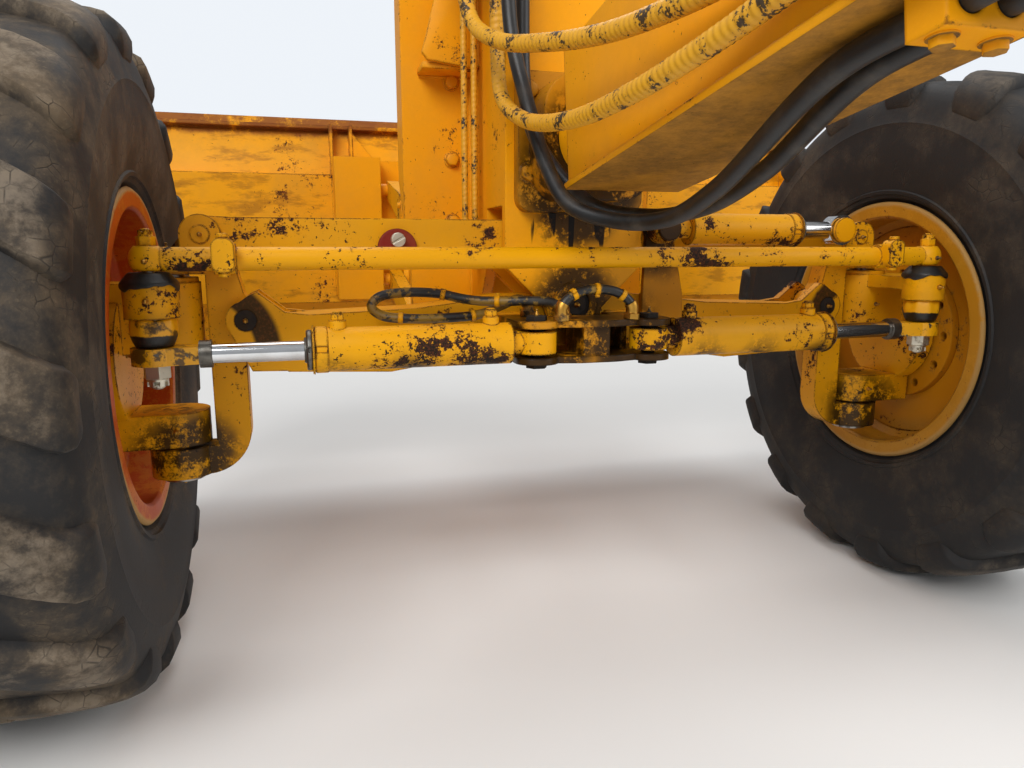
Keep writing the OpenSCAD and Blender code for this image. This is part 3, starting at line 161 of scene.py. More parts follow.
class Finish:
    """A material made of nodes, kept in FINISHES."""

    def __init__(self, name):
        self.material = FINISHES[name] = bpy.data.materials.new(name)
        self.material.use_nodes = True
        self.tree = self.material.node_tree
        self.shader = self.tree.nodes["Principled BSDF"]
        self.place = self.node("ShaderNodeTexCoord", {}, output="Object")

    def feed(self, socket, value):
        """Link a value to a socket, or write a number, a colour or a six-digit one into it."""
        if isinstance(value, Value):
            self.tree.links.new(value.socket, socket)
        elif value is not None:
            socket.default_value = rgb(value) if isinstance(value, str) else value

    def node(self, kind, settings, *values, output=0, **named):
        made = self.tree.nodes.new(kind)
        for key, setting in settings.items():
            setattr(made, key, setting)
        for key, value in list(enumerate(values)) + list(named.items()):
            self.feed(made.inputs[key], value)
        return Value(self, made.outputs[output])

    def noise(self, scale, detail=4.0, rough=0.6, place=None):
        return self.node("ShaderNodeTexNoise", {}, output="Fac", Vector=place or self.place,
                         Scale=scale, Detail=detail, Roughness=rough)

    def streaks(self, scale, detail, rough, stretch):
        """Noise that is drawn out along the axes with a low stretch."""
        return self.noise(scale, detail, rough, self.node(
            "ShaderNodeMapping", {}, output="Vector", Vector=self.place, Scale=stretch))

    def mix(self, low, high, amount):
        made = self.tree.nodes.new("ShaderNodeMix")
        made.data_type = "RGBA"
        for key, value in ((0, amount), (6, low), (7, high)):
            self.feed(made.inputs[key], value)
        return Value(self, made.outputs[2])

    def near(self, centre, radius, soft=0.03):
        """1 close to a point and 0 away from it."""
        away = self.node("ShaderNodeVectorMath", {"operation": "DISTANCE"}, self.place, tuple(centre),
                         output="Value")
        return 1 - (away + self.noise(14.0, 3.0) * 0.06 - 0.03).step(radius - soft, radius + soft)

    def along(self, axis, source=None):
        """One coordinate of the place on the piece."""
        return self.node("ShaderNodeSeparateXYZ", {}, source or self.place, output=axis)

    def height(self):
        """Height above the ground."""
        return self.along("Z") + NOSE_TOP_Z

    def axle_distance(self):
        """Distance from the wheels' axis."""
        out = self.along("Y") + NOSE_MID_Y
        high = self.along("Z") + (NOSE_TOP_Z - WHEEL_Z)
        return (out * out + high * high).root()

    def normal(self):
        return self.node("ShaderNodeNewGeometry", {}, output="Normal")

    def rounded(self, radius):
        """The normal with the piece's edges rounded."""
        return self.node("ShaderNodeBevel", {"samples": 4}, output="Normal", Radius=radius)

    def look(self, base, rough, metal=0.0, specular=0.5):
        """Colour, roughness, metal and reflection of the shader."""
        for socket, value in (("Base Color", base), ("Roughness", rough), ("Metallic", metal),
                              ("Specular IOR Level", specular)):
            self.feed(self.shader.inputs[socket], value)

    def bump(self, height, strength, distance, normal=None):
        made = self.node("ShaderNodeBump", {}, output="Normal", Height=height, Strength=strength,
                         Distance=distance, Normal=normal)
        self.feed(self.shader.inputs["Normal"], made)


# ---- finishes

DARK_CHIP = "21180f"
RUST = "74391a"
GREASE = "120d09"
DUST = "9a7840"
YELLOW = "dc9b01"
# Paint yellow made brighter with painted sunlight, for the frame, the tongue and the blade
YELLOW_WITH_PAINTED_SUN = "f0a202"
AMBER = "cf8b02"


def worn_paint(name, colour, chips=0.5, rust=0.4, grease=(), dust=0.3, edge=0.5, deep=None, extra=None):
    """Machine paint with chips down to dark steel, rust round them, grease and dust."""
    f = Finish(name)
    patch = f.noise(2.3, 2.0)
    mottle = f.noise(7.0, 5.0, 0.62)
    grain = f.noise(46.0, 6.0, 0.7)
    speck = f.noise(230.0, 3.0, 0.6)
    normal = f.normal()
    rounded = f.rounded(0.006)
    turn = f.node("ShaderNodeVectorMath", {"operation": "DOT_PRODUCT"}, rounded, normal, output="Value")
    corner = (1 - turn).step(0.015, 0.12)

    field = mottle * 0.5 + grain * 0.36 + speck * 0.14 + (patch - 0.5) * 0.22
    wear = field + corner * (0.09 * edge)
    limit = 0.685 - 0.1 * chips
    nick_limit = 0.735 - 0.07 * chips
    nicks = f.noise(105.0, 4.0, 0.65) + (mottle - 0.5) * 0.45 + corner * (0.05 * edge)
    chip = wear.step(limit - 0.006, limit + 0.004).high(nicks.step(nick_limit, nick_limit + 0.01))
    halo = wear.step(limit - 0.035, limit) * rust

    clean = rgb(colour)[:3]
    deep = deep or (*[c * 0.74 for c in clean], 1.0)
    pale = (*[min(1.0, c * 1.18 + 0.003) for c in clean], 1.0)
    base = f.mix(colour, deep, (patch * 1.3 - 0.25).clamped() * 0.6)
    base = f.mix(base, pale, speck.step(0.5, 0.8) * 0.18)
    base = f.mix(base, RUST, halo * 0.6)
    dirt = (f.along("Z", normal) * 0.5 + 0.5) * f.noise(5.5, 5.0, 0.7).step(0.4, 0.72) * dust
    base = f.mix(base, DUST, dirt.clamped())
    base = f.mix(base, f.mix(DARK_CHIP, RUST, speck.step(0.46, 0.6) * rust), chip)
    rough = 0.36 + mottle * 0.16 + dirt * 0.4 + chip * 0.3
    if grease:
        oily = f.near(*grease[0])
        for spot in grease[1:]:
            oily = oily.high(f.near(*spot))
        oily = (oily * field.step(0.41, 0.49)).clamped()
        base = f.mix(base, GREASE, oily * 0.93)
        rough = rough * (1 - oily * 0.35)
    if extra:
        base, rough = extra(f, base, rough, field, speck)
    f.look(base, rough.clamped(), specular=0.18)
    f.bump(field * 0.25 - chip * 0.5 + grain * 0.15, 0.5, 0.0016, rounded)


def fork_bands(f, base, rough, field, speck):
    """Dark arcs that the yokes have rubbed on the rear fork plates."""
    across = f.along("X").size() - 0.825
    height = f.height() - 0.69
    away = (across * across + height * height).root()
    ring = away.step(0.118, 0.128) * (1 - away.step(0.168, 0.182))
    rear = 1 - f.along("Y").step(-0.058 - NOSE_MID_Y, -0.05 - NOSE_MID_Y)
    sector = (0 - across).step(0.045, 0.06) * height.step(-0.01, 0.01)
    mark = (ring * rear * sector * field.step(0.3, 0.4)).clamped()
    dark = f.mix(GREASE, RUST, speck.step(0.5, 0.7) * 0.4)
    return f.mix(base, dark, mark * 0.94), rough + mark * 0.1


def oil_drips(f, base, rough, field, speck):
    """Black oil that runs down the nose below the bolted collar."""
    runs = f.streaks(1.0, 3.0, 0.55, (34.0, 34.0, 2.2))
    height = f.height()
    across = f.along("X").size()
    fade = height.step(0.84, 0.97) * (1 - height.step(0.985, 1.02)) * (1 - across.step(0.08, 0.13))
    mark = (runs + fade * 0.16).step(0.7, 0.73) * fade.step(0.02, 0.1)
    return f.mix(base, GREASE, mark * 0.95), rough - mark * 0.15


def dust_and_shade_belly(f, base, rough, field, speck):
    """Brown on the tongue's faces that turn down: road dust, and painted shade under the tongue."""
    # Painted shade with dust: faces that turn down are browned, patchily
    below = 1 - f.along("Z", f.normal()).step(-0.75, -0.45)
    dust_and_shade = (below * (field * 0.9 + 0.3)).clamped()
    brown = f.mix("8a622f", "5d4426", field.step(0.42, 0.6))
    return f.mix(base, brown, dust_and_shade), rough + dust_and_shade * 0.2


def scraped_front(f, base, rough, field, speck):
    """The blade's working face: bare, scratched and rusty below, with paint left at the top."""
    ahead = f.along("Y", f.normal()).step(0.3, 0.6)
    height = f.height()
    stripes = f.streaks(1.0, 5.0, 0.7, (1.6, 30.0, 34.0))
    bare = ahead * (1 - (height + field * 0.5 - 0.25).step(1.02, 1.14))
    steel = f.mix("8d857a", "5b4434", stripes.step(0.42, 0.62))
    steel = f.mix(steel, "7c4a28", field.step(0.5, 0.62) * 0.7)
    stain = f.streaks(1.0, 5.0, 0.7, (5.0, 5.0, 17.0)).step(0.5, 0.64)
    base = f.mix(base, "8a5410", stain * (1 - ahead) * 0.55)
    rusty = (height + field * 0.06).step(1.305, 1.33) * (1 - ahead) * field.step(0.38, 0.5)
    base = f.mix(base, RUST, rusty * 0.85)
    return f.mix(base, steel, bare.clamped()), rough + bare * 0.05


def worn_lip(inside, lip):
    """Rim paint: the wheel's own colour inside, and a worn, sandy lip round the flange."""
    def extra(f, base, rough, field, speck):
        radius = f.axle_distance()
        edge = (radius + field * 0.02).step(0.345, 0.353)
        base = f.mix(base, inside, (1 - edge) * 0.85 * (1 - field.step(0.47, 0.56)))
        disc = (1 - (radius + field * 0.05).step(0.262, 0.3)) * (1 - field.step(0.56, 0.6))
        base = f.mix(base, "b9780a", disc * 0.9)
        return f.mix(base, lip, edge * field.step(0.33, 0.45) * 0.92), rough + edge * 0.15
    return extra


def bare_metal(name, colour, rough, stain, stain_amount):
    """Machined steel with stains."""
    f = Finish(name)
    mottle = f.noise(24.0, 6.0, 0.66)
    fine = f.noise(300.0, 3.0)
    dirty = mottle.step(0.62 - 0.2 * stain_amount, 0.72 - 0.15 * stain_amount)
    f.look(f.mix(colour, stain, dirty), (rough + fine * 0.08 + dirty * 0.35).clamped(),
           (1 - dirty * 0.9).clamped())
    f.bump(fine * 0.3 + mottle * 0.4, 0.25, 0.0006, f.rounded(0.003))


def rod_chrome(name, eye=None):
    """Hard-chromed rod with a film of oil; a rod with its eye at X has that end painted."""
    f = Finish(name)
    film = f.noise(9.0, 5.0, 0.6).step(0.4, 0.8)
    lines = f.streaks(90.0, 3.0, 0.6, (0.04, 1.0, 1.0))
    base = f.mix("d9dadb", "8c8378", film * 0.5)
    metal, rough = 1.0, lines * 0.07 + film * 0.14 + 0.06
    if eye:
        grain = f.noise(60.0, 6.0, 0.7)
        across = f.along("X").size()
        ferrule = across.step(eye - 0.0995, eye - 0.0985)
        painted = (across.step(eye - 0.0765, eye - 0.0755) * (1 - grain.step(0.58, 0.62))).clamped()
        grime = f.noise(13.0, 5.0, 0.7).step(0.5, 0.56)
        base = f.mix(base, f.mix("8b8880", "3a3129", grain), ferrule)
        base = f.mix(base, f.mix(YELLOW, GREASE, grime * 0.85), painted)
        metal = (1 - painted).clamped()
        rough = rough + ferrule * 0.28
    f.look(base, rough.clamped(), metal)
    f.bump(lines, 0.05, 0.0003)


def black_rubber(name, colour, overspray=0.0, dust=0.25, low_paint=False):
    """Hose or boot rubber, with dust and sprayed paint; low_paint covers the lower boots' upper part."""
    f = Finish(name)
    mottle = f.noise(16.0, 5.0, 0.65)
    fine = f.noise(420.0, 3.0)
    spray = f.noise(21.0, 5.0, 0.7).step(0.5, 0.56) * overspray
    base = f.mix(colour, "6d6356", mottle.step(0.45, 0.8) * dust)
    base = f.mix(base, "c99a1c", spray)
    if low_paint:
        height = f.height() + mottle * 0.016 + fine * 0.004
        sprayed = height.step(0.76, 0.7625) * (1 - height.step(0.8, 0.81))
        base = f.mix(base, f.mix(YELLOW, GREASE, mottle.step(0.52, 0.6) * 0.9), sprayed)
    f.look(base, (0.32 + mottle * 0.28).clamped())
    f.bump(fine * 0.4 + mottle * 0.3, 0.4, 0.0008)


def tyre_rubber(name):
    """Old tyre: black rubber under brown dust, with fine cracks and lighter worn crowns."""
    f = Finish(name)
    mottle = f.noise(3.2, 6.0, 0.62)
    smear = f.noise(11.0, 6.0, 0.7)
    fine = f.noise(150.0, 5.0, 0.7)
    crown = (f.axle_distance() + smear * 0.01).step(0.655, 0.675)
    cracks = f.node("ShaderNodeTexVoronoi", {"feature": "DISTANCE_TO_EDGE"}, output="Distance",
                    Vector=f.place, Scale=38.0)
    crack = (1 - cracks.step(0.0, 0.05)) * smear.step(0.5, 0.62)
    dusty = 1 - f.along("X").step(-0.5, 0.5) * 0.6
    dust = (mottle * 0.55 + smear * 0.45 + crown * 0.06).step(0.45, 0.68) * dusty
    base = f.mix("1f1e1e", "6a5a46", dust * 0.85)
    base = f.mix(base, "82725b", fine.step(0.5, 0.75) * dust * 0.5)
    base = f.mix(base, "7f7364", (crown * smear.step(0.44, 0.6) * dusty * 0.55).clamped())
    f.look(f.mix(base, "131211", crack * 0.7), (0.66 + dust * 0.25).clamped(), specular=0.3)
    f.bump(fine * 0.3 + smear * 0.5 - crack * 0.6, 0.5, 0.0022)


def hose_wrap(name):
    """Scuffed yellow plastic of the spiral hose guards, worn black on its ribs."""
    f = Finish(name)
    mottle = f.noise(20.0, 5.0, 0.7)
    fine = f.noise(160.0, 4.0, 0.7)
    base = f.mix("e0a318", "b98216", mottle)
    base = f.mix(base, "211a11", (mottle * 0.7 + fine * 0.3).step(0.545, 0.585) * 0.95)
    f.look(base, (0.42 + mottle * 0.3).clamped())
    f.bump(mottle, 0.3, 0.0012)


def greased(*spots):
    """Grease spots given as x, y, z and radius."""
    return [(at(*spot[:3]), spot[3]) for spot in spots]


def make_finishes():
    """Every finish of the part, named as the record's material slot or with its own name."""
    # The frame, the tongue and the blade take the brighter yellow that has painted sunlight in it
    worn_paint("frame_paint", YELLOW_WITH_PAINTED_SUN, chips=0.42, rust=0.6, edge=0.9, deep="d98a0c",
               grease=greased((0, -0.12, 1.0, 0.1), (0, -0.1, 0.79, 0.1)), extra=oil_drips)
    worn_paint("greasy_paint", "c2800c", chips=0.75, rust=0.5, edge=1.0,
               grease=greased((0, -0.2, 1.06, 0.17), (0.12, -0.2, 0.72, 0.15),
                              (-0.12, -0.2, 0.72, 0.13), (0.22, -0.09, 0.93, 0.09)))
    # The tongue's underside is browned with dust and painted shade
    worn_paint("tongue_paint", YELLOW_WITH_PAINTED_SUN, chips=0.32, rust=0.7, edge=0.8, deep="d8941a",
               extra=dust_and_shade_belly)
    ends = [(s * KING_X, ARM_Y, z, 0.045) for s in SIDES for z in (0.755, 0.862)]
    kings = [(s * KING_X, 0, *spot) for s in SIDES for spot in ((0.47, 0.115), (0.89, 0.055))]
    worn_paint("axle_paint", YELLOW, chips=1.05, rust=0.45, edge=1.1, dust=0.25, deep="c87e0c",
               grease=greased(*ends, *kings, (0.02, ARM_Y, TIE_Z, 0.04), (-0.23, -0.1, 0.7, 0.05)),
               extra=fork_bands)
    worn_paint("cylinder_paint", YELLOW, chips=1.32, rust=0.35, edge=1.4, dust=0.2, deep=AMBER,
               grease=greased(*[(s * x, ARM_Y, 0.672, 0.045) for s in SIDES for x in (0.26, 0.4, 0.56)]))
    worn_paint("blade_paint", YELLOW_WITH_PAINTED_SUN, chips=0.55, rust=0.9, edge=1.5, dust=0.4, deep="d7930f",
               extra=scraped_front)
    worn_paint("rim_paint", "b57a14", chips=0.75, rust=0.7, edge=0.8, dust=0.5, deep="7d5a1c",
               extra=worn_lip("a06c14", "a07c46"))
    worn_paint("rim_red", "c4690c", chips=0.6, rust=0.6, edge=0.6, dust=0.35, deep="7a2208",
               extra=worn_lip("a83c0a", "ab8852"))
    worn_paint("maroon_paint", "7d2018", rust=0.3)
    bare_metal("worn_steel", "a39d94", 0.34, "3a2c20", 0.5)
    bare_metal("pin_steel", "3a3026", 0.5, "1c140d", 1.2)
    bare_metal("pale_steel", "cdc6b4", 0.4, "6b5a40", 0.3)
    bare_metal("grey_fitting", "77756f", 0.38, "2c2620", 0.5)
    bare_metal("brass_fitting", "b98a3c", 0.35, "3a2a14", 0.6)
    bare_metal("edge_steel", "6a6259", 0.5, "55311a", 0.9)
    rod_chrome("rod_chrome")
    rod_chrome("steer_rod_finish", eye=KING_X)
    tyre_rubber("tyre_rubber")
    black_rubber("boot_rubber", "100f0e", low_paint=True)
    black_rubber("black_hose", "131211", overspray=0.35)
    black_rubber("plain_hose", "131313", dust=0.3)
    hose_wrap("hose_wrap")


# ---- modelling by hand, in code

# The record's material slot of each finish that isn't a slot itself
SLOT_OF = {"rim_red": "rim_paint", "steer_rod_finish": "rod_chrome", "plain_hose": "black_hose",
           **dict.fromkeys(("pin_steel", "pale_steel", "grey_fitting", "brass_fitting"), "worn_steel")}


def take(*things):
    """Select only these objects, the first one active."""
    bpy.ops.object.select_all(action="DESELECT")
    for thing in things:
        thing.select_set(True)
    bpy.context.view_layer.objects.active = things[0]


def pick(obj, test):
    """Go into edit mode with the faces picked whose middle and normal pass the test."""
    take(obj)
    mesh = obj.data
    for group in (mesh.vertices, mesh.edges):
        group.foreach_set("select", [False] * len(group))
    for face in mesh.polygons:
        face.select = test(face.center, face.normal)
    bpy.context.tool_settings.mesh_select_mode = (False, False, True)
    bpy.ops.object.mode_set(mode="EDIT")


def pick_all(obj):
    take(obj)
    bpy.ops.object.mode_set(mode="EDIT")
    bpy.ops.mesh.select_all(action="SELECT")


def leave_edit():
    bpy.ops.object.mode_set(mode="OBJECT")


def linked(name, mesh):
    """A new object of this mesh in the scene."""
    obj = bpy.data.objects.new(name, mesh)
    bpy.context.collection.objects.link(obj)
    return obj


def mesh_object(name, verts, edges, faces):
    mesh = bpy.data.meshes.new(name)
    mesh.from_pydata(verts, edges, faces)
    return linked(name, mesh)


def face_outwards(obj):
    pick_all(obj)
    bpy.ops.mesh.normals_make_consistent(inside=False)
    leave_edit()


def settled():
    """The newest object, with its place put into its mesh."""
    obj = bpy.context.object
    take(obj)
    bpy.ops.object.transform_apply(location=True, rotation=True, scale=True)
    return obj


def cylinder(radius, low, high, sides=24, chamfer=None):
    """A cylinder on the Z axis between two heights. chamfer is the top's inset and rise."""
    bpy.ops.mesh.primitive_cylinder_add(vertices=sides, radius=radius, depth=high - low,
                                        location=(0, 0, (low + high) / 2))
    obj = settled()
    if chamfer:
        chamfer_end(obj, *chamfer)
    return obj


def cube(place, size):
    bpy.ops.mesh.primitive_cube_add(size=1, location=place)
    bpy.context.object.scale = size
    return settled()


def chamfer_end(obj, inset, rise, top=True):
    """Draw in one end face and lift it, as a chamfered end."""
    ends = (max if top else min)(v.co.z for v in obj.data.vertices)
    pick(obj, lambda mid, normal: abs(mid.z - ends) < 1e-6)
    bpy.ops.mesh.inset(thickness=inset, depth=0)
    bpy.ops.transform.translate(value=(0, 0, rise if top else -rise))
    leave_edit()


def join(*things):
    take(*things)
    if len(things) > 1:
        bpy.ops.object.join()
    return bpy.context.view_layer.objects.active


def turned(profile, steps=32, closed=True):
    """A profile of (radius, height) pairs turned about Z. A closed profile makes a ring."""
    count = len(profile)
    edges = [(i, (i + 1) % count) for i in range(count if closed else count - 1)]
    obj = mesh_object("turned", [(r, 0, h) for r, h in profile], edges, [])
    pick_all(obj)
    bpy.ops.mesh.spin(steps=steps, angle=math.tau, center=(0, 0, 0), axis=(0, 0, 1))
    bpy.ops.mesh.select_all(action="SELECT")
    bpy.ops.mesh.remove_doubles(threshold=0.00002)
    bpy.ops.mesh.normals_make_consistent(inside=False)
    leave_edit()
    return obj


def modified(obj, kind, **settings):
    """The object with a modifier of these settings applied."""
    take(obj)
    modifier = obj.modifiers.new(kind, kind)
    for key, setting in settings.items():
        setattr(modifier, key, setting)
    bpy.ops.object.modifier_apply(modifier=modifier.name)
    return obj


def bevelled(obj, width, segments=2, angle=32):
    return modified(obj, "BEVEL", width=width, segments=segments, limit_method="ANGLE",
                    angle_limit=math.radians(angle))


def facing(point, direction, size=1.0, turn=0.0):
    """A place whose Z looks along the direction."""
    look = Vector(direction).to_track_quat("Z", "Y").to_matrix().to_4x4()
    return Matrix.Translation(point) @ look @ Matrix.Rotation(turn, 4, "Z") @ Matrix.Diagonal(
        (size, size, size, 1.0))


def seat(x, y, z, direction, size=1.0, turn=0.0):
    """The same, at a point in the machine's own coordinates."""
    return facing(at(x, y, z), direction, size, turn)


def pair(x, y, z, direction, size=1.0, turn=0.0):
    """That place on both sides."""
    return [seat(side * x, y, z, direction, size, turn) for side in SIDES]


def moved(obj, place):
    obj.data.transform(place)
    return obj


def finished(obj, name, body, finish, smooth=35):
    """Name, paint and hang a piece on its body."""
    take(obj)
    bpy.ops.object.shade_smooth_by_angle(angle=math.radians(smooth))
    obj.name = name
    obj.data.name = name
    obj.data.materials.clear()
    obj.data.materials.append(FINISHES[finish])
    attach(obj, body)
    return obj


def spread(master, places, name, body, finish):
    """Copies of a master at each place, each with its own mesh, joined to one piece."""
    copies = [moved(linked(name, master.data.copy()), place) for place in places]
    return finished(join(*copies), name, body, finish)


def drop(*masters):
    """Delete the masters that copies were made of."""
    for master in masters:
        mesh = master.data
        bpy.data.objects.remove(master)
        bpy.data.meshes.remove(mesh)


def smooth_line(points, gap):
    """Points about a gap apart on a smooth curve through the given ones."""
    pts = [Vector(p) for p in points]
    pts = [pts[0] * 2 - pts[1]] + pts + [pts[-1] * 2 - pts[-2]]
    dense = []
    for a, b, c, d in zip(pts, pts[1:], pts[2:], pts[3:]):
        t1 = (b - a).length ** 0.5
        t2 = t1 + (c - b).length ** 0.5
        t3 = t2 + (d - c).length ** 0.5
        for k in range(24):
            t = t1 + (t2 - t1) * k / 24

            def blend(low, high, start, end):
                return low * ((end - t) / (end - start)) + high * ((t - start) / (end - start))

            middle = blend(b, c, t1, t2)
            dense.append(blend(blend(blend(a, b, 0, t1), middle, 0, t2),
                               blend(middle, blend(c, d, t2, t3), t1, t3), t1, t2))
    dense.append(pts[-2])
    run = [0.0]
    for a, b in zip(dense, dense[1:]):
        run.append(run[-1] + (b - a).length)
    count = max(2, round(run[-1] / gap))
    line, k = [], 0
    for i in range(count + 1):
        want = run[-1] * i / count
        while k < len(run) - 2 and run[k + 1] < want:
            k += 1
        line.append(dense[k].lerp(dense[k + 1], (want - run[k]) / max(1e-9, run[k + 1] - run[k])))
    return line


def length_of(line):
    return sum((b - a).length for a, b in zip(line, line[1:]))


def heading(line, i):
    return (line[min(i + 1, len(line) - 1)] - line[max(i - 1, 0)]).normalized()


def ring_faces(rings, sides):
    """The faces between rings of vertices that follow one another."""
    return [(i + k, i + (k + 1) % sides, i + (k + 1) % sides + sides, i + k + sides)
            for i in range(0, (rings - 1) * sides, sides) for k in range(sides)]


def tube(line, radius, sides=14, ridge=None):
    """A closed tube along a line. ridge gives what is added to the radius at a length and an angle."""
    side = heading(line, 0).orthogonal().normalized()
    verts, run = [], 0.0
    for i, middle in enumerate(line):
        ahead = heading(line, i)
        side = (side - ahead * side.dot(ahead)).normalized()
        other = ahead.cross(side)
        run += (middle - line[i - 1]).length if i else 0.0
        for k in range(sides):
            a = math.tau * k / sides
            r = radius + (ridge(run, a) if ridge else 0.0)
            verts.append(middle + side * (r * math.cos(a)) + other * (r * math.sin(a)))
    ends = [tuple(range(sides - 1, -1, -1)), tuple(range(len(verts) - sides, len(verts)))]
    return mesh_object("tube", verts, [], ring_faces(len(line), sides) + ends)


def weld_bead(line, radius):
    """A weld bead: a tube with the ripples of its passes."""
    def ripple(run, a):
        return radius * (0.16 * math.sin(run * 1150.0 + 0.9 * math.cos(a)) + 0.1 * math.sin(run * 171.0))

    gap = 0.0018
    if len(line) == 2:
        count = max(1, round((line[1] - line[0]).length / gap))
        line = [line[0].lerp(line[1], i / count) for i in range(count + 1)]
    else:
        line = smooth_line(line, gap)
    return tube(line, radius, 8, ripple)


def round_the_clock(radius, count):
    """Sine and cosine pairs of places on a circle."""
    return [(radius * math.sin(math.tau * i / count), radius * math.cos(math.tau * i / count))
            for i in range(count)]


def sector(point, count):
    """The number of the sector that a point lies in, counted round Z."""
    return int((math.atan2(point.y, point.x) % math.tau) / math.tau * count)


# Masters: drawn once round Z at a size of 1 across, standing on Z 0


def model_bolt_head():
    """Hexagon head with a chamfered top, on its washer."""
    head = cylinder(0.5, 0.08, 0.44, 6, (0.07, 0.035))
    washer = bevelled(cylinder(0.62, -0.04, 0.08, 28), 0.02)
    return join(bevelled(head, 0.012, 1), washer)


def model_wheel_nut():
    """Wheel nut with a cone below, a washer and the stud's end through it."""
    nut = cylinder(0.5, 0.1, 0.78, 6, (0.08, 0.05))
    flange = bevelled(cylinder(0.6, -0.02, 0.12, 28), 0.03)
    return join(nut, flange, cylinder(0.25, 0.5, 1.1, 20, (0.05, 0.04)))


def model_castle_nut():
    """Castle nut on its stud, with the split pin through the slots."""
    nut = cylinder(0.5, 0.0, 0.5, 6, (0.06, 0.03))
    crown = cylinder(0.38, 0.48, 0.62, 12)
    pick(crown, lambda mid, normal: normal.z > 0.9)
    bpy.ops.mesh.inset(thickness=0.13, depth=0)
    leave_edit()
    pick(crown, lambda mid, normal: normal.z > 0.9 and mid.xy.length > 0.2 and sector(mid, 12) % 2 == 0)
    bpy.ops.mesh.extrude_region_move(TRANSFORM_OT_translate={"value": (0, 0, 0.2)})
    leave_edit()
    stud = cylinder(0.24, 0.3, 0.86, 20, (0.07, 0.06))
    bpy.ops.mesh.primitive_cylinder_add(vertices=8, radius=0.035, depth=1.02, location=(0, 0, 0.73),
                                        rotation=(math.pi / 2, 0, 0.26))
    return join(nut, crown, stud, settled())


def model_nipple():
    """Grease nipple: hexagon, waist and ball end."""
    base = cylinder(0.5, -0.05, 0.36, 6, (0.06, 0.04))
    neck = turned([(0.0, 0.3), (0.34, 0.3), (0.34, 0.6), (0.2, 0.78), (0.17, 0.95), (0.26, 1.05),
                   (0.28, 1.2), (0.2, 1.32), (0.0, 1.36)], 16, closed=False)
    return join(base, neck)


def model_ferrule():
    """Crimped hose ferrule with the union nut that holds it: the hose comes from above."""
    sleeve = turned([(0.0, 0.0), (0.3, 0.0), (0.33, 0.05), (0.33, 0.25), (0.62, 0.3), (0.68, 0.38),
                     (0.68, 0.5), (0.6, 0.56), (0.68, 0.62), (0.68, 0.9), (0.6, 0.96), (0.68, 1.02),
                     (0.68, 1.5), (0.62, 1.6), (0.5, 1.62), (0.0, 1.62)], 24, closed=False)
    nut = cylinder(0.62, -0.55, 0.28, 6, (0.07, 0.05))
    chamfer_end(nut, 0.07, 0.05, top=False)
    return join(sleeve, nut)


def model_band():
    """A band round a hose of size 1, with its screw block."""
    half, outside = 0.25, 0.57
    ring = bevelled(turned([(0.5, -half), (outside, -half), (outside, half), (0.5, half)], 28), 0.012, 1)
    return join(ring, bevelled(cube((outside + 0.1, 0, 0), (0.26, 0.34, half * 1.6)), 0.03))


def model_gland(radius, bore, length):
    """Gland ring at a cylinder's mouth, with its spanner notches and a wiper lip."""
    ring = turned([(bore, 0.0), (radius - 0.002, 0.0), (radius, 0.002), (radius, length - 0.003),
                   (radius - 0.003, length), (bore + 0.006, length), (bore + 0.0045, length + 0.004),
                   (bore, length + 0.004)], 48)
    pick(ring, lambda mid, normal: mid.xy.length > radius - 0.0015
         and abs(mid.z - length / 2) < length / 3 and sector(mid, 48) % 12 < 2)
    bpy.ops.mesh.inset(thickness=0.0012, depth=-0.004)
    leave_edit()
    return ring


def model_keeper():
    """Keeper plate of a pin: rounded plate with two bolts, 1 long."""
    plate = cube((0, 0, 0.06), (1.0, 0.42, 0.12))
    pick(plate, lambda mid, normal: abs(normal.x) > 0.9)
    bpy.ops.mesh.extrude_region_move(TRANSFORM_OT_translate={"value": (0, 0, 0)})
    bpy.ops.transform.resize(value=(1.12, 0.6, 1.0))
    leave_edit()
    bolts = [moved(cylinder(0.13, 0.12, 0.25, 6, (0.02, 0.012)), Matrix.Translation((x, 0, 0)))
             for x in (-0.34, 0.34)]
    return join(bevelled(plate, 0.015), *bolts)


# ---- hoses


def lane(x, z):
    """The straight end of a hose under the tongue, in millimetres."""
    return tuple(tuple(c * 1000 for c in on_tongue(x, y, z)) for y in (-0.8, -0.95, -1.1))


# Height of the axle hoses' ends, in millimetres
SHELF_TOP = 757.3
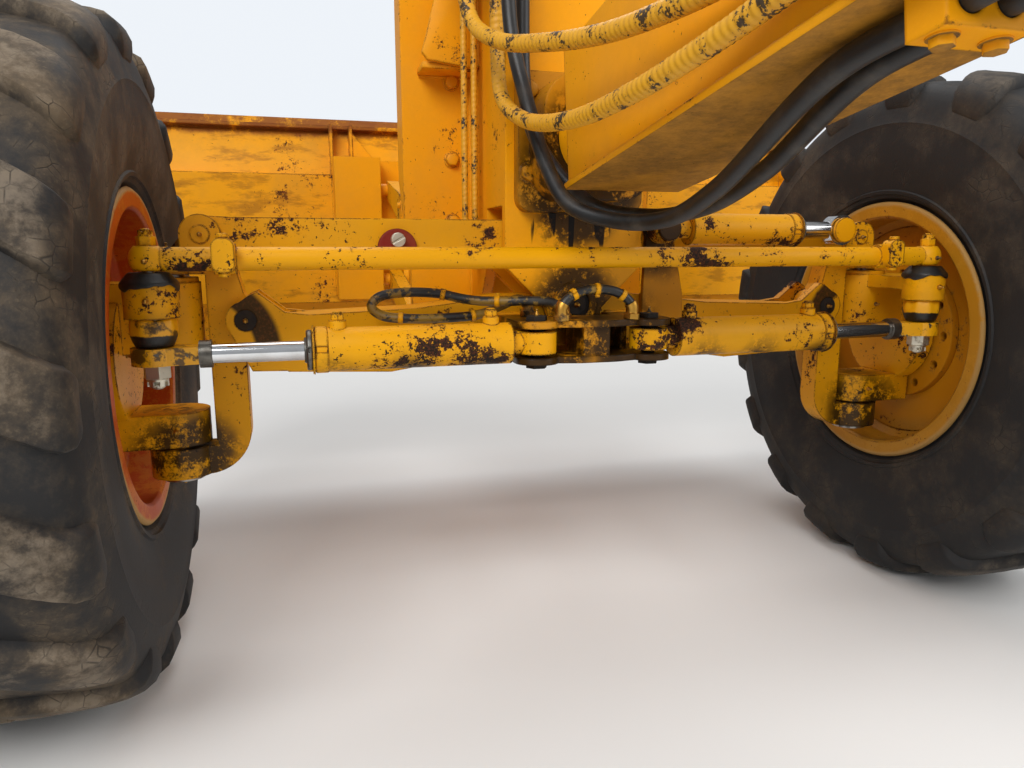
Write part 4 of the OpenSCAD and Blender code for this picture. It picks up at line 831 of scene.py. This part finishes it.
# Name, node, diameter, finish, kind of end, and the route in the machine's millimetres
HOSES = (
    ("wrapped_hose_a", "wrapped_hoses", 0.03, "hose_wrap", "fitting", (
        (-280, -200, 1600), (-280, -200, 1480), (-278, -205, 1400), (-268, -235, 1330),
        (-245, -330, 1275), (-205, -490, 1235), (-165, -700, 1205)) + lane(-0.134, -0.046)),
    ("wrapped_hose_b", "wrapped_hoses", 0.03, "hose_wrap", "fitting", (
        (-205, -180, 1600), (-205, -180, 1420), (-206, -186, 1290), (-208, -225, 1200),
        (-196, -330, 1142), (-175, -520, 1112), (-158, -740, 1118)) + lane(-0.134, -0.09)),
    ("thick_hose_a", "black_hoses", 0.03, "plain_hose", "fitting", (
        (-150, -170, 1600), (-150, -172, 1400), (-150, -190, 1220), (-140, -250, 1110),
        (-60, -345, 988), (20, -420, 966), (52, -560, 975), (40, -740, 1015)) + lane(-0.02, -0.155)),
    ("thick_hose_b", "black_hoses", 0.03, "plain_hose", "fitting", (
        (-195, -225, 1600), (-192, -232, 1330), (-168, -285, 1160), (-150, -332, 1060),
        (-126, -395, 985), (-66, -470, 955), (-26, -580, 955), (-24, -720, 990)) + lane(-0.062, -0.155)),
    ("axle_hose_a", "axle_hoses", 0.022, "black_hose", "object", (
        (-60, -186, SHELF_TOP), (-60, -186, 776), (-84, -184, 791), (-130, -178, 796), (-190, -162, 795),
        (-240, -142, 796), (-275, -124, 801), (-320, -112, 811), (-400, -110, 814), (-450, -110, 804),
        (-464, -112, 786), (-446, -116, 768), (-390, -126, 760), (-300, -130, 760), (-230, -128, 766),
        (-180, -124, 784), (-140, -114, 796), (-118, -112, 784), (-118, -112, SHELF_TOP))),
    ("axle_hose_b", "axle_hoses", 0.022, "black_hose", "object", (
        (-80, -232, SHELF_TOP), (-80, -232, 786), (-52, -230, 812), (0, -228, 822),
        (52, -230, 812), (80, -232, 786), (80, -232, SHELF_TOP))),
    *[(name, "mast_hoses", 0.016, "hose_wrap", "object", [(x, 90, z) for z in (1600, 1400, 1150, 920)])
      for name, x in (("mast_hose_a", -190), ("mast_hose_b", -214))])
# Places of the clamp bands, as shares of the hose's length
BANDS = {"axle_hose_a": (0.2, 0.34, 0.62, 0.8), "axle_hose_b": (0.28, 0.5, 0.74)}
THIN_HOSE = 0.02
WRAP_PITCH = 0.0125
PATH_STEP = 0.012
FERRULE_POINTS = 7


class GRADER_OT_hoses(bpy.types.Operator):
    """Run the hoses, with their ferrules, unions and clamp bands"""

    bl_idname = "grader.hoses"
    bl_label = "Hoses"

    def brass_ends(self, line, across, first, last):
        """Ferrules on both ends of a hose, each on its hexagon nut."""
        parts = (line[:FERRULE_POINTS], line[-FERRULE_POINTS:])
        stubs = [tube(part, across / 2 + 0.0028, 18) for part in parts]
        nuts = [moved(cylinder(0.0185, 0.0, 0.011, 6, (0.002, 0.0015)), facing(point, out))
                for point, out in ((line[0], first), (line[-1], -last))]
        return join(*stubs, *nuts)

    def execute(self, context):
        ferrule = model_ferrule()
        band = model_band()
        for name, node, across, finish, far_end, route in HOSES:
            wrapped, thin = finish == "hose_wrap", across < THIN_HOSE
            line = smooth_line([at(x / 1000, y / 1000, z / 1000) for x, y, z in route],
                               0.0026 if wrapped else 0.006)
            ribs = 0.0004 if thin else 0.0007

            def ridge(run, a):
                return ribs * math.sin(math.tau * run / WRAP_PITCH - a)

            hose = tube(line, across / 2 - ribs, 16, ridge if wrapped else None)
            finished(hose, name, "root", finish)
            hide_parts(node)
            first, last = heading(line, 0), heading(line, len(line) - 1)
            if far_end == "object" and not thin:
                pieces = [finished(self.brass_ends(line, across, first, last), name + "_ferrules",
                                   "root", "brass_fitting")]
            else:
                # How far the union's foot stands off each end of the hose, and its size
                near, far, size = (0.01, -0.01, across * 0.9) if thin else (across * 0.58, 0.004, across)
                ends = [facing(line[0] + first * near, first, size),
                        facing(line[-1] + last * far, -last, size)]
                pieces = [spread(ferrule, ends, name + "_unions", "root", "grey_fitting")]
            if name in BANDS:
                spots = [(round(share * (len(line) - 1)), share * 9) for share in BANDS[name]]
                places = [facing(line[i], heading(line, i), across * 1.01, turn) for i, turn in spots]
                pieces.append(spread(band, places, name + "_bands", "root", "axle_paint"))
            count = round(length_of(line) / PATH_STEP)
            round(length_of(line), 4)
        drop(ferrule, band)
        return {"FINISHED"}


# ---- tyres

# Half of the tyre's outer skin, from the bead to the middle of the tread: radius and half width
TYRE_SKIN = (
    (0.3205, 0.15), (0.32, 0.176), (0.326, 0.1795), (0.35, 0.1795), (0.356, 0.184), (0.36, 0.192),
    (0.368, 0.1975), (0.37, 0.203), (0.378, 0.205), (0.3815, 0.201), (0.395, 0.204), (0.42, 0.211),
    (0.45, 0.216), (0.48, 0.219), (0.51, 0.2205), (0.54, 0.22), (0.548, 0.2215), (0.554, 0.2195),
    (0.575, 0.216), (0.6, 0.21), (0.618, 0.203), (0.632, 0.193), (0.642, 0.18), (0.648, 0.16),
    (0.651, 0.12), (0.652, 0.06), (0.6522, 0.0))
TYRE_LINING = ((0.626, 0.0), (0.624, 0.11), (0.612, 0.16), (0.58, 0.186), (0.52, 0.196), (0.45, 0.191),
               (0.4, 0.172), (0.365, 0.155), (0.34, 0.146))
# Stations of a lug from the middle of the tread over the shoulder: top radius and half width,
# foot radius and half width, share of the sweep, half length round the wheel in pitches
LUG = (
    (0.679, 0.01, 0.645, 0.01, 0.04, 0.19), (0.6795, 0.05, 0.645, 0.05, 0.22, 0.205),
    (0.6785, 0.095, 0.645, 0.095, 0.42, 0.22), (0.676, 0.135, 0.644, 0.135, 0.6, 0.232),
    (0.6715, 0.165, 0.64, 0.16, 0.75, 0.238), (0.664, 0.19, 0.632, 0.18, 0.88, 0.24),
    (0.65, 0.2085, 0.622, 0.192, 0.97, 0.238), (0.63, 0.2185, 0.61, 0.202, 1.0, 0.228),
    (0.608, 0.219, 0.596, 0.206, 1.0, 0.205), (0.588, 0.216, 0.58, 0.2085, 1.0, 0.17))
LUG_COUNT = 17
LUG_PITCH = math.tau / LUG_COUNT
LUG_SWEEP = 0.11 / WHEEL_Z
WEAR = 0.0012


class GRADER_OT_tyres(bpy.types.Operator):
    """Model the tyres: carcass with its bead and ribs, and the sweeping lugs"""

    bl_idname = "grader.tyres"
    bl_label = "Tyres"

    def carcass(self):
        """Outer skin and lining of the whole tyre, turned."""
        outer = TYRE_SKIN + tuple((r, -w) for r, w in reversed(TYRE_SKIN[:-1]))
        lining = tuple((r, -w) for r, w in reversed(TYRE_LINING)) + TYRE_LINING[1:]
        return turned(outer + lining, LUG_COUNT * 10)

    def lug(self, hand, rng):
        """One lug of a half of the tread. hand is the half: 1 or -1."""
        middle = 0.235 if hand > 0 else 0.735
        verts = []
        for top_r, top_w, foot_r, foot_w, sweep, reach in LUG:
            turn = middle * LUG_PITCH + sweep * LUG_SWEEP
            for r, w, share in ((top_r, top_w, -0.94), (top_r, top_w, 0.0), (top_r, top_w, 0.94),
                                (foot_r, foot_w, 1.16), (foot_r, foot_w, -1.16)):
                a = turn + share * reach * LUG_PITCH + rng.uniform(-WEAR, WEAR)
                r += rng.uniform(-WEAR, WEAR / 2) if r == top_r else 0.0
                verts.append((r * math.cos(a), r * math.sin(a), hand * w))
        ends = [(4, 3, 2, 1, 0), tuple(range(len(verts) - 5, len(verts)))]
        obj = mesh_object("lug", verts, [], ring_faces(len(LUG), 5) + ends)
        face_outwards(obj)
        return bevelled(obj, 0.0045, angle=30)

    def execute(self, context):
        rng = random.Random(17)
        for side in SIDES:
            pieces = [self.carcass()]
            for hand in SIDES:
                for i in range(LUG_COUNT):
                    pieces.append(moved(self.lug(hand, rng), Matrix.Rotation(LUG_PITCH * i, 4, "Z")))
            tyre = join(*pieces)
            # The wheel's axis is X, and the right tyre is the left one's mirror image
            tyre.data.transform(Matrix(((0, 0, -side, 0), (0, 1, 0, 0), (-1, 0, 0, 0), (0, 0, 0, 1))))
            tyre.data.transform(Matrix.Translation(at(side * WHEEL_X, 0, WHEEL_Z)))
            if side > 0:
                tyre.data.flip_normals()
            finished(tyre, side_name("worn_tyre", side), side_name("wheel", side), "tyre_rubber", 28)
            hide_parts(side_name("tyre", side))
        return {"FINISHED"}


# ---- boots

LOWER_BOOT = (0.7285, 0.7815)
LOWER_BOOT_RADII = (0.032, 0.0385)
BOOT_ROWS = 7
UPPER_BOOT = ((0.05, 0.832), (0.0508, 0.839), (0.05, 0.845), (0.0475, 0.8495), (0.044, 0.8535),
              (0.0405, 0.858), (0.037, 0.862), (0.033, 0.8655))
SKIRT_TOP = 0.8495


class GRADER_OT_boots(bpy.types.Operator):
    """Model the torn rubber boots and the ball studs inside them"""

    bl_idname = "grader.boots"
    bl_label = "Boots and studs"

    def lower(self, rng):
        """The lower boot: a wavy sleeve that widens upwards."""
        (low, high), (low_r, high_r) = LOWER_BOOT, LOWER_BOOT_RADII
        profile = []
        for t in (i / BOOT_ROWS for i in range(BOOT_ROWS + 1)):
            belly = 0.006 * math.sin(math.pi * t)
            profile.append((low_r + (high_r - low_r) * t + belly, low + (high - low) * t))
        sleeve = turned(profile, 44, closed=False)
        waves = [(rng.uniform(1.5, 6.5), rng.uniform(0, math.tau), rng.uniform(0.3, 1.0))
                 for _ in range(5)]
        for vert in sleeve.data.vertices:
            a = math.atan2(vert.co.y, vert.co.x)
            t = (vert.co.z - low) / (high - low)
            swing = sum(s * math.sin(round(k) * a + p) for k, p, s in waves) / 3
            vert.co.z = low + (high - low) * t + 0.0024 * swing * t
            vert.co.xy *= 1 + (0.045 * swing + 0.05 * math.sin(9 * a + waves[0][1]) * t) * (0.3 + 0.7 * t)
        return self.walled(sleeve)

    def skirt(self, rng):
        """The upper boot: torn, and hanging in ragged folds over the arm's boss."""
        sleeve = turned(UPPER_BOOT, 60, closed=False)
        waves = [(k, rng.uniform(0, math.tau)) for k in (2, 3, 5, 8, 13)]
        for vert in sleeve.data.vertices:
            a = math.atan2(vert.co.y, vert.co.x)
            hang = max(0.0, (SKIRT_TOP - vert.co.z) / (SKIRT_TOP - UPPER_BOOT[0][1]))
            ragged = sum(math.sin(k * a + p) / (1 + 0.25 * k) for k, p in waves)
            vert.co.z += hang * (0.0045 + 0.0042 * ragged)
            vert.co.xy *= 1 + 0.012 * math.sin(8 * a + waves[3][1]) * hang + 0.004 * ragged
        return self.walled(sleeve)

    def walled(self, sleeve):
        """Give the rubber its thickness and smooth it."""
        modified(sleeve, "SOLIDIFY", thickness=0.0032, offset=-1)
        return modified(sleeve, "SUBSURF", levels=1, render_levels=1)

    def execute(self, context):
        rng = random.Random(5)
        for side in SIDES:
            place = Matrix.Translation(at(side * KING_X, ARM_Y, 0))
            knuckle = side_name("knuckle", side)
            upper = self.skirt(rng)
            boots = moved(join(upper, self.lower(rng)), place)
            finished(boots, side_name("torn_boots", side), knuckle, "boot_rubber", smooth=60)
            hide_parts(side_name("boots", side))
            stud = cylinder(0.0145, 0.73, 0.784, 28, (0.002, 0.002))
            stud = moved(join(stud, bevelled(cylinder(0.021, 0.766, 0.7825, 28), 0.002)), place)
            finished(stud, side_name("eye_stud", side), knuckle, "pale_steel")
        return {"FINISHED"}


# ---- fasteners

EDGE_BOLT_ROWS = (0.585, 0.665)
EDGE_BOLT_START, EDGE_BOLT_GAP, EDGE_BOLT_COUNT = -1.2325, 0.145, 18
# Radii of the cutting edge's front and of the blade's back, about one axis
EDGE_FRONT, BLADE_BACK = 0.8657, 0.9
BLADE_AXIS = (1.89, 0.935)


def on_blade(x, z, radius, size, turn, way=1):
    """A place on one of the blade's curved surfaces, looking to its axis or away from it."""
    y = BLADE_AXIS[0] - math.sqrt(radius ** 2 - (z - BLADE_AXIS[1]) ** 2)
    inwards = Vector((0, BLADE_AXIS[0] - y, BLADE_AXIS[1] - z)).normalized()
    return seat(x, y, z, inwards * way, size, turn)


class GRADER_OT_fasteners(bpy.types.Operator):
    """Model the bolts, nuts, keeper plates and grease nipples"""

    bl_idname = "grader.fasteners"
    bl_label = "Fasteners"

    def execute(self, context):
        head, nut, castle = model_bolt_head(), model_wheel_nut(), model_castle_nut()
        nipple, keeper = model_nipple(), model_keeper()

        spread(head, [seat(x, -0.1283, z, BACK, 0.037, x * 9 + z) for x in (-0.123, 0.123)
                      for z in (1.2341, 1.0665)], "collar_bolts", "root", "greasy_paint")
        spread(head, [seat(side * 0.215, y, z, way, 0.034, z * turn)
                      for y, way, turn in ((0.2403, BACK, 7), (0.2703, AHEAD, 5))
                      for side in SIDES for z in (1.317, 1.13, 0.974)],
               "plate_bolts", "root", "frame_paint")
        under = -Vector((0, math.sin(TONGUE_RISE), math.cos(TONGUE_RISE)))
        spread(head, [seat(*on_tongue(x, -0.938, -0.1802), under, 0.022, x * 30) for x in (-0.07, -0.012)]
               + [seat(*on_tongue(-0.1562, -0.938, z), (-1, 0, 0), 0.022, z * 30)
                  for z in (-0.042, -0.094)], "clamp_bolts", "root", "tongue_paint")
        lift_y, lift_z = LIFT_TOP
        upright = math.pi / 2
        spread(keeper, [seat(side * 0.3292, 0.34, z + 0.038, (side, 0, 0), 0.062, upright)
                        for side in SIDES for z in (0.66, 0.96)]
               + [seat(side * 0.0521, lift_y - 0.004, lift_z + 0.036, (side, 0, 0), 0.056, upright)
                  for side in SIDES], "pin_keepers", "root", "frame_paint")
        spread(keeper, [seat(side * 0.2408, 0.9328, z, (-side, 0, 0), 0.05)
                        for side in SIDES for z in (0.8003, 1.1003)],
               "blade_pin_keepers", "blade", "axle_paint")

        for side in SIDES:
            out = (side, 0, 0)
            # On the wheel: master, name, distance from the middle, radius of the circle, count, size
            for master, stem, x, radius, count, size in ((nut, "wheel_nuts", 1.048, 0.1575, 12, 0.036),
                                                         (head, "hub_cap_bolts", 1.202, 0.06, 6, 0.02)):
                spread(master, [seat(side * x, y, WHEEL_Z + z, out, size, y * 40)
                                for y, z in round_the_clock(radius, count)],
                       side_name(stem, side), side_name("wheel", side), "rim_paint")
            king, rod = side * KING_X, side_name("steer_rod", side)
            spread(castle, [seat(king, ARM_Y, STEER_Z - 0.016, DOWN, 0.05, 0.3 * side)],
                   side_name("eye_nut", side), rod, "pale_steel")
            for stem, body, places in (
                    ("yoke_nipples", side_name("yoke", side),
                     [seat(king, 0, 0.9043, UP, 0.011), seat(king, 0, 0.4135, DOWN, 0.011),
                      seat(side * 0.795, -0.0791, 0.935, BACK, 0.01)]),
                    ("knuckle_nipples", side_name("knuckle", side),
                     [seat(king, ARM_Y - 0.0465, 0.815, BACK, 0.012),
                      seat(king, -0.0615, 0.76, BACK, 0.011), seat(king, -0.0615, 0.53, BACK, 0.011)]),
                    ("eye_nipple", rod, [seat(side * 0.906, ARM_Y, STEER_Z, out, 0.011)])):
                spread(nipple, places, side_name(stem, side), body, "brass_fitting")

        spread(castle, [seat(side * KING_X, ARM_Y, TIE_Z + 0.0235, UP, 0.034, 0.5 + side)
                        for side in SIDES], "tie_rod_nuts", "tie_rod", "axle_paint")
        spread(head, [seat(side * 0.738, -0.2495, TIE_Z + rise, way, 0.022, side)
                      for rise, way in ((0.036, UP), (-0.022, DOWN)) for side in SIDES],
               "tie_collar_bolts", "tie_rod", "axle_paint")
        spread(nipple, pair(KING_X, ARM_Y - 0.0315, TIE_Z - 0.004, BACK, 0.01),
               "tie_rod_nipples", "tie_rod", "brass_fitting")
        spread(nipple, pair(0.72, -0.0618, 0.758, BACK, 0.011) + pair(0.13, ARM_Y, 0.7672, UP, 0.011)
               + [seat(0, -0.1078, 0.78, BACK, 0.013)], "axle_nipples", "root", "brass_fitting")

        slotted = cylinder(0.0152, 0.0, 0.0135, 36)
        halves = []
        for way in SIDES:
            halves.append(cylinder(0.0152, 0.0134, 0.017, 36))
            pick_all(halves[-1])
            bpy.ops.mesh.bisect(plane_co=(0, way * 0.0018, 0), plane_no=(0, way, 0), use_fill=True,
                                clear_inner=True)
            leave_edit()
        slotted = bevelled(join(slotted, *halves), 0.0006, 1)
        spread(slotted, [seat(-0.4, -0.074, 0.925, BACK, turn=0.5)],
               "slotted_bolt", "lean_bar", "pale_steel")

        low, high = EDGE_BOLT_ROWS
        bolts, nuts = [], []
        for i in range(EDGE_BOLT_COUNT):
            x = EDGE_BOLT_START + i * EDGE_BOLT_GAP
            bolts += [on_blade(x, z, EDGE_FRONT, 0.03, i) for z in (low, high)]
            nuts += [on_blade(x, z, BLADE_BACK, 0.032, i * turn, -1)
                     for z, turn in ((high, 0.7), (low, 1.3))]
        dome = turned([(0.0, -0.05), (0.5, -0.05), (0.5, 0.04), (0.46, 0.1), (0.34, 0.17), (0.18, 0.21),
                       (0.0, 0.22)], 20, closed=False)
        spread(dome, bolts, "edge_bolts", "blade", "edge_steel")
        spread(head, nuts, "edge_nuts", "blade", "blade_paint")
        drop(head, nut, castle, nipple, keeper, slotted, dome)
        return {"FINISHED"}


class GRADER_OT_cylinder_trim(bpy.types.Operator):
    """Model the glands, wipers and port adaptors of the hydraulic cylinders"""

    bl_idname = "grader.cylinder_trim"
    bl_label = "Cylinder trim"

    def mouth(self, stem, barrel, paint, place, gland, sleeve, back, side=None, flat=1.0):
        """Gland at a cylinder's mouth and head nut behind it. flat squeezes the gland."""
        rings = [moved(model_gland(*gland), place @ Matrix.Diagonal((1, 1, flat, 1))),
                 moved(model_gland(*sleeve), place @ Matrix.Translation((0, 0, -back)))]
        for ring, name, finish in zip(reversed(rings), ("_head_nut", "_gland"), (paint, "grey_fitting")):
            finished(ring, side_name(stem + name, side) if side else stem + name, barrel, finish)

    def execute(self, context):
        for side in SIDES:
            barrel = side_name("steer_barrel", side)
            self.mouth("steer", barrel, "cylinder_paint", seat(side * 0.59, ARM_Y, STEER_Z, (side, 0, 0)),
                       (0.04, 0.0196, 0.011), (0.0458, 0.0424, 0.026), 0.03, side)
            ports = []
            for x in (0.23, 0.54):
                port = cylinder(0.0135, 0.0, 0.012, 6, (0.002, 0.0015))
                port = join(port, bevelled(cylinder(0.0095, 0.01, 0.017, 20), 0.001, 1))
                ports.append(moved(port, seat(side * x, ARM_Y, 0.7688, UP)))
            finished(join(*ports), side_name("steer_port_plugs", side), barrel, "cylinder_paint")
        self.mouth("lean", "lean_barrel", "cylinder_paint", seat(0.57, LEAN_Y, LEAN_Z, (1, 0, 0)),
                   (0.0345, 0.0216, 0.011), (0.0392, 0.0362, 0.024), 0.028)
        # The lift cylinder's gland is low, because the rod's eye comes close to it with the blade up
        along = Vector((0, math.sin(LIFT_LEAN), -math.cos(LIFT_LEAN)))
        self.mouth("lift", "lift_barrel", "frame_paint", facing(at(0, *LIFT_TOP) + along * 0.56, along),
                   (0.0445, 0.0236, 0.013), (0.0512, 0.0474, 0.03), 0.034, flat=0.2)
        return {"FINISHED"}


# Corners in X and Z of the right gusset's standing plate and of its foot, and both Y ends
GUSSET_PLATES = (
    (((0.1655, 1.33), (0.29, 1.345), (0.303, 1.362), (0.24, 1.598), (0.1655, 1.598)), (0.138, 0.154)),
    (((0.1655, 1.33), (0.3, 1.33), (0.3, 1.345), (0.1655, 1.345)), (0.154, 0.24)))


class GRADER_OT_gussets(bpy.types.Operator):
    """Model the gussets that hold the front plate's top to the nose"""

    bl_idname = "grader.gussets"
    bl_label = "Nose gussets"

    def execute(self, context):
        parts = []
        for side in SIDES:
            for corners, ends in GUSSET_PLATES:
                count = len(corners)
                verts = [at(side * x, y, z) for y in ends for x, z in corners]
                caps = [tuple(range(count)), tuple(range(2 * count - 1, count - 1, -1))]
                plate = mesh_object("gusset", verts, [], caps + ring_faces(2, count))
                face_outwards(plate)
                parts.append(bevelled(plate, 0.003))
        finished(join(*parts), "nose_gussets", "root", "frame_paint")
        return {"FINISHED"}


# Seams of the right side, mirrored for the left: X and Z of both ends, Y, and the bead's radius
NOSE_SEAMS = (
    (0.1655, 0.66, 0.1655, 1.6, 0.2392, 0.005), (0.3235, 1.0, 0.3235, 1.58, 0.271, 0.0042),
    (0.09, 0.7575, 0.174, 0.7575, -0.061, 0.0045), (0.1665, 1.335, 0.1665, 1.596, 0.137, 0.0045),
    (0.17, 1.3285, 0.296, 1.3285, 0.239, 0.0045),
    *[(x, 1.335, x, 1.525, 0.2712, 0.004) for x in (0.0315, 0.0525)],
    *[(x, z - 0.028, x, z + 0.054, 0.2712, 0.0036) for z in (0.66, 0.96)
      for x in (0.2408, 0.2592, 0.3108, 0.3292)])
BLADE_SEAMS = (*[(x, 0.74, x, 1.15, 0.9835, 0.0045) for x in (0.329, 0.479)],
               *[(x, 0.725, x, 1.15, 0.9836, 0.0038) for x in (1.3115, 1.3285)])
# Seams from side to side: half length, Y, Z and the bead's radius
NOSE_CROSS_SEAMS = ((0.174, -0.061, 0.6815, 0.0045),)
BLADE_CROSS_SEAMS = ((1.365, 1.071, 1.3095, 0.0042), (1.365, 1.016, 1.1525, 0.0042))


class GRADER_OT_welds(bpy.types.Operator):
    """Lay the weld beads along the seams"""

    bl_idname = "grader.welds"
    bl_label = "Weld beads"

    def lay(self, name, body, finish, seams):
        beads = [weld_bead(line, radius) for line, radius in seams]
        finished(join(*beads), name, body, finish, smooth=70)

    def straight(self, seams, cross_seams):
        """Both ends and the radius of each bead."""
        beads = [([at(side * x, y, z), at(side * x_end, y, z_end)], radius)
                 for side in SIDES for x, z, x_end, z_end, y, radius in seams]
        return beads + [([at(-x, y, z), at(x, y, z)], radius) for x, y, z, radius in cross_seams]

    def ring(self, place, radius):
        """Points of a circle about the place's Z, not quite closed."""
        return [place @ Vector((c, s, 0)) for s, c in round_the_clock(radius, 60)]

    def execute(self, context):
        self.lay("nose_welds", "root", "frame_paint", self.straight(NOSE_SEAMS, NOSE_CROSS_SEAMS))
        self.lay("tongue_welds", "root", "tongue_paint", [
            ([at(*on_tongue(side * 0.1105, y, -0.1225)) for y in (-0.132, -1.13)], 0.0045)
            for side in SIDES])
        self.lay("blade_welds", "blade", "blade_paint", self.straight(BLADE_SEAMS, BLADE_CROSS_SEAMS))
        self.lay("arm_welds", "lift_arms", "axle_paint", [
            (self.ring(place, 0.0425), 0.0045) for place in pair(0.2645, 0.6602, 0.7398, (1, 0, 0))])
        return {"FINISHED"}


# ---- settings, paint and stage


class GraderSettings(bpy.types.PropertyGroup):
    """Sizes that a user would change."""

    lens: FloatProperty(name="Lens", description="Focal length of the camera in mm", default=26.0)
    floor_size: FloatProperty(name="Floor", description="Side of the studio floor", default=40.0,
                              unit="LENGTH")
    floor_colour: FloatVectorProperty(name="Floor colour", description="Colour of the studio floor",
                                      subtype="COLOR", size=4, default=(0.8, 0.79, 0.77, 1.0))


# Nodes whose finish isn't the one of their material slot
OWN_FINISH = {"rim_l": "rim_red", "pivot_pins": "pin_steel",
              "steer_rod_l": "steer_rod_finish", "steer_rod_r": "steer_rod_finish"}


class GRADER_OT_paint(bpy.types.Operator):
    """Give every CAD node its finish"""

    bl_idname = "grader.paint"
    bl_label = "Paint the frame"

    def execute(self, context):
        make_finishes()
        for part in frame["record"]["subparts"]:
            materials = frame["nodes"][part["node"]].data.materials
            materials.clear()
            materials.append(FINISHES[OWN_FINISH.get(part["node"], part["material_slot"])])
        return {"FINISHED"}


CAMERA_PLACE = (-0.61, -1.7, 0.91)
CAMERA_TILT, CAMERA_TURN = math.radians(79.5), math.radians(-16)
SKY_LIGHT, SKY_STRENGTH = (0.93, 0.96, 1.0, 1.0), 0.46
SKY_SEEN = (0.86, 0.9, 0.95, 1.0)
FLOOR_CLOUD = (0.74, 0.73, 0.71, 1.0)
FLOOR_GLOW = (0.8, 0.8, 0.79, 1.0)
# Name, place, height of the point that it looks at, size and power of each lamp
LAMPS = (("key_light", (-3.2, -4.5, 3.2), -0.9, 3.2, 340.0),
         ("fill_light", (4.0, -3.0, 1.2), -0.9, 3.0, 100.0),
         ("top_light", (0.5, 2.5, 4.5), -0.8, 4.0, 170.0))


class GRADER_OT_stage(bpy.types.Operator):
    """Make the studio floor, the lamps and the camera"""

    bl_idname = "grader.stage"
    bl_label = "Stage"

    def floor(self, settings):
        place = (0, 0, CAD_LOW.z - 0.001)
        bpy.ops.mesh.primitive_plane_add(size=settings.floor_size, location=place)
        floor = bpy.context.object
        floor.name = "studio_floor"
        f = Finish("studio_floor")
        f.look(f.mix(tuple(settings.floor_colour), FLOOR_CLOUD, f.noise(0.6, 4.0)), 0.9)
        # Far away the floor stays pale for the camera, where the lamps don't reach
        away = f.node("ShaderNodeVectorMath", {"operation": "LENGTH"}, f.place, output="Value")
        seen = f.node("ShaderNodeLightPath", {}, output="Is Camera Ray")
        glow = f.node("ShaderNodeEmission", {}, FLOOR_GLOW, 1.0)
        cover = f.node("ShaderNodeMixShader", {}, away.step(2.0, 5.5) * seen,
                       Value(f, f.shader.outputs[0]), glow)
        f.tree.links.new(cover.socket, f.tree.nodes["Material Output"].inputs["Surface"])
        floor.data.materials.append(f.material)

    def sky(self, scene):
        """A pale sky for the camera, and a dimmer one that lights the part."""
        scene.world = bpy.data.worlds.new("studio")
        scene.world.use_nodes = True
        nodes, link = scene.world.node_tree.nodes, scene.world.node_tree.links.new
        light, seen = nodes["Background"], nodes.new("ShaderNodeBackground")
        for sky, colour, strength in ((light, SKY_LIGHT, SKY_STRENGTH), (seen, SKY_SEEN, 1.0)):
            sky.inputs["Color"].default_value = colour
            sky.inputs["Strength"].default_value = strength
        choice = nodes.new("ShaderNodeMixShader")
        link(nodes.new("ShaderNodeLightPath").outputs["Is Camera Ray"], choice.inputs[0])
        link(light.outputs[0], choice.inputs[1])
        link(seen.outputs[0], choice.inputs[2])
        link(choice.outputs[0], nodes["World Output"].inputs["Surface"])

    def execute(self, context):
        settings = context.scene.grader
        self.floor(settings)
        self.sky(context.scene)
        for name, place, aim, size, power in LAMPS:
            bpy.ops.object.light_add(type="AREA", location=place)
            lamp = context.object
            lamp.name = name
            lamp.data.size = size
            lamp.data.energy = power
            look = Vector((0, 0, aim)) - Vector(place)
            lamp.rotation_euler = look.to_track_quat("-Z", "Y").to_euler()

        bpy.ops.object.camera_add(location=at(*CAMERA_PLACE), rotation=(CAMERA_TILT, 0, CAMERA_TURN))
        camera = context.object
        camera.data.lens = settings.lens
        camera.data.sensor_width = 36.0
        camera.data.clip_start = 0.02
        context.scene.camera = camera
        context.scene.view_settings.view_transform = "Standard"
        return {"FINISHED"}


class GRADER_PT_panel(bpy.types.Panel):
    """Shows the settings and a button for each step of the model"""

    bl_label = "Motor grader front end"
    bl_idname = "GRADER_PT_panel"
    bl_space_type = "VIEW_3D"
    bl_region_type = "UI"
    bl_category = "Grader"

    def draw(self, context):
        for name in GraderSettings.__annotations__:
            self.layout.prop(context.scene.grader, name)
        for operator in OPERATORS:
            self.layout.operator(operator.bl_idname)


OPERATORS = (GRADER_OT_stage, GRADER_OT_paint, GRADER_OT_hoses, GRADER_OT_tyres, GRADER_OT_boots,
             GRADER_OT_fasteners, GRADER_OT_cylinder_trim, GRADER_OT_gussets, GRADER_OT_welds)
CLASSES = (GraderSettings,) + OPERATORS + (GRADER_PT_panel,)


def register():
    for cls in CLASSES:
        bpy.utils.register_class(cls)
    bpy.types.Scene.grader = PointerProperty(type=GraderSettings)


def unregister():
    del bpy.types.Scene.grader
    for cls in reversed(CLASSES):
        bpy.utils.unregister_class(cls)


def main():
    register()
    for operator in OPERATORS:
        group, name = operator.bl_idname.split(".")
        getattr(getattr(bpy.ops, group), name)()


if __name__ == "__main__":
    main()
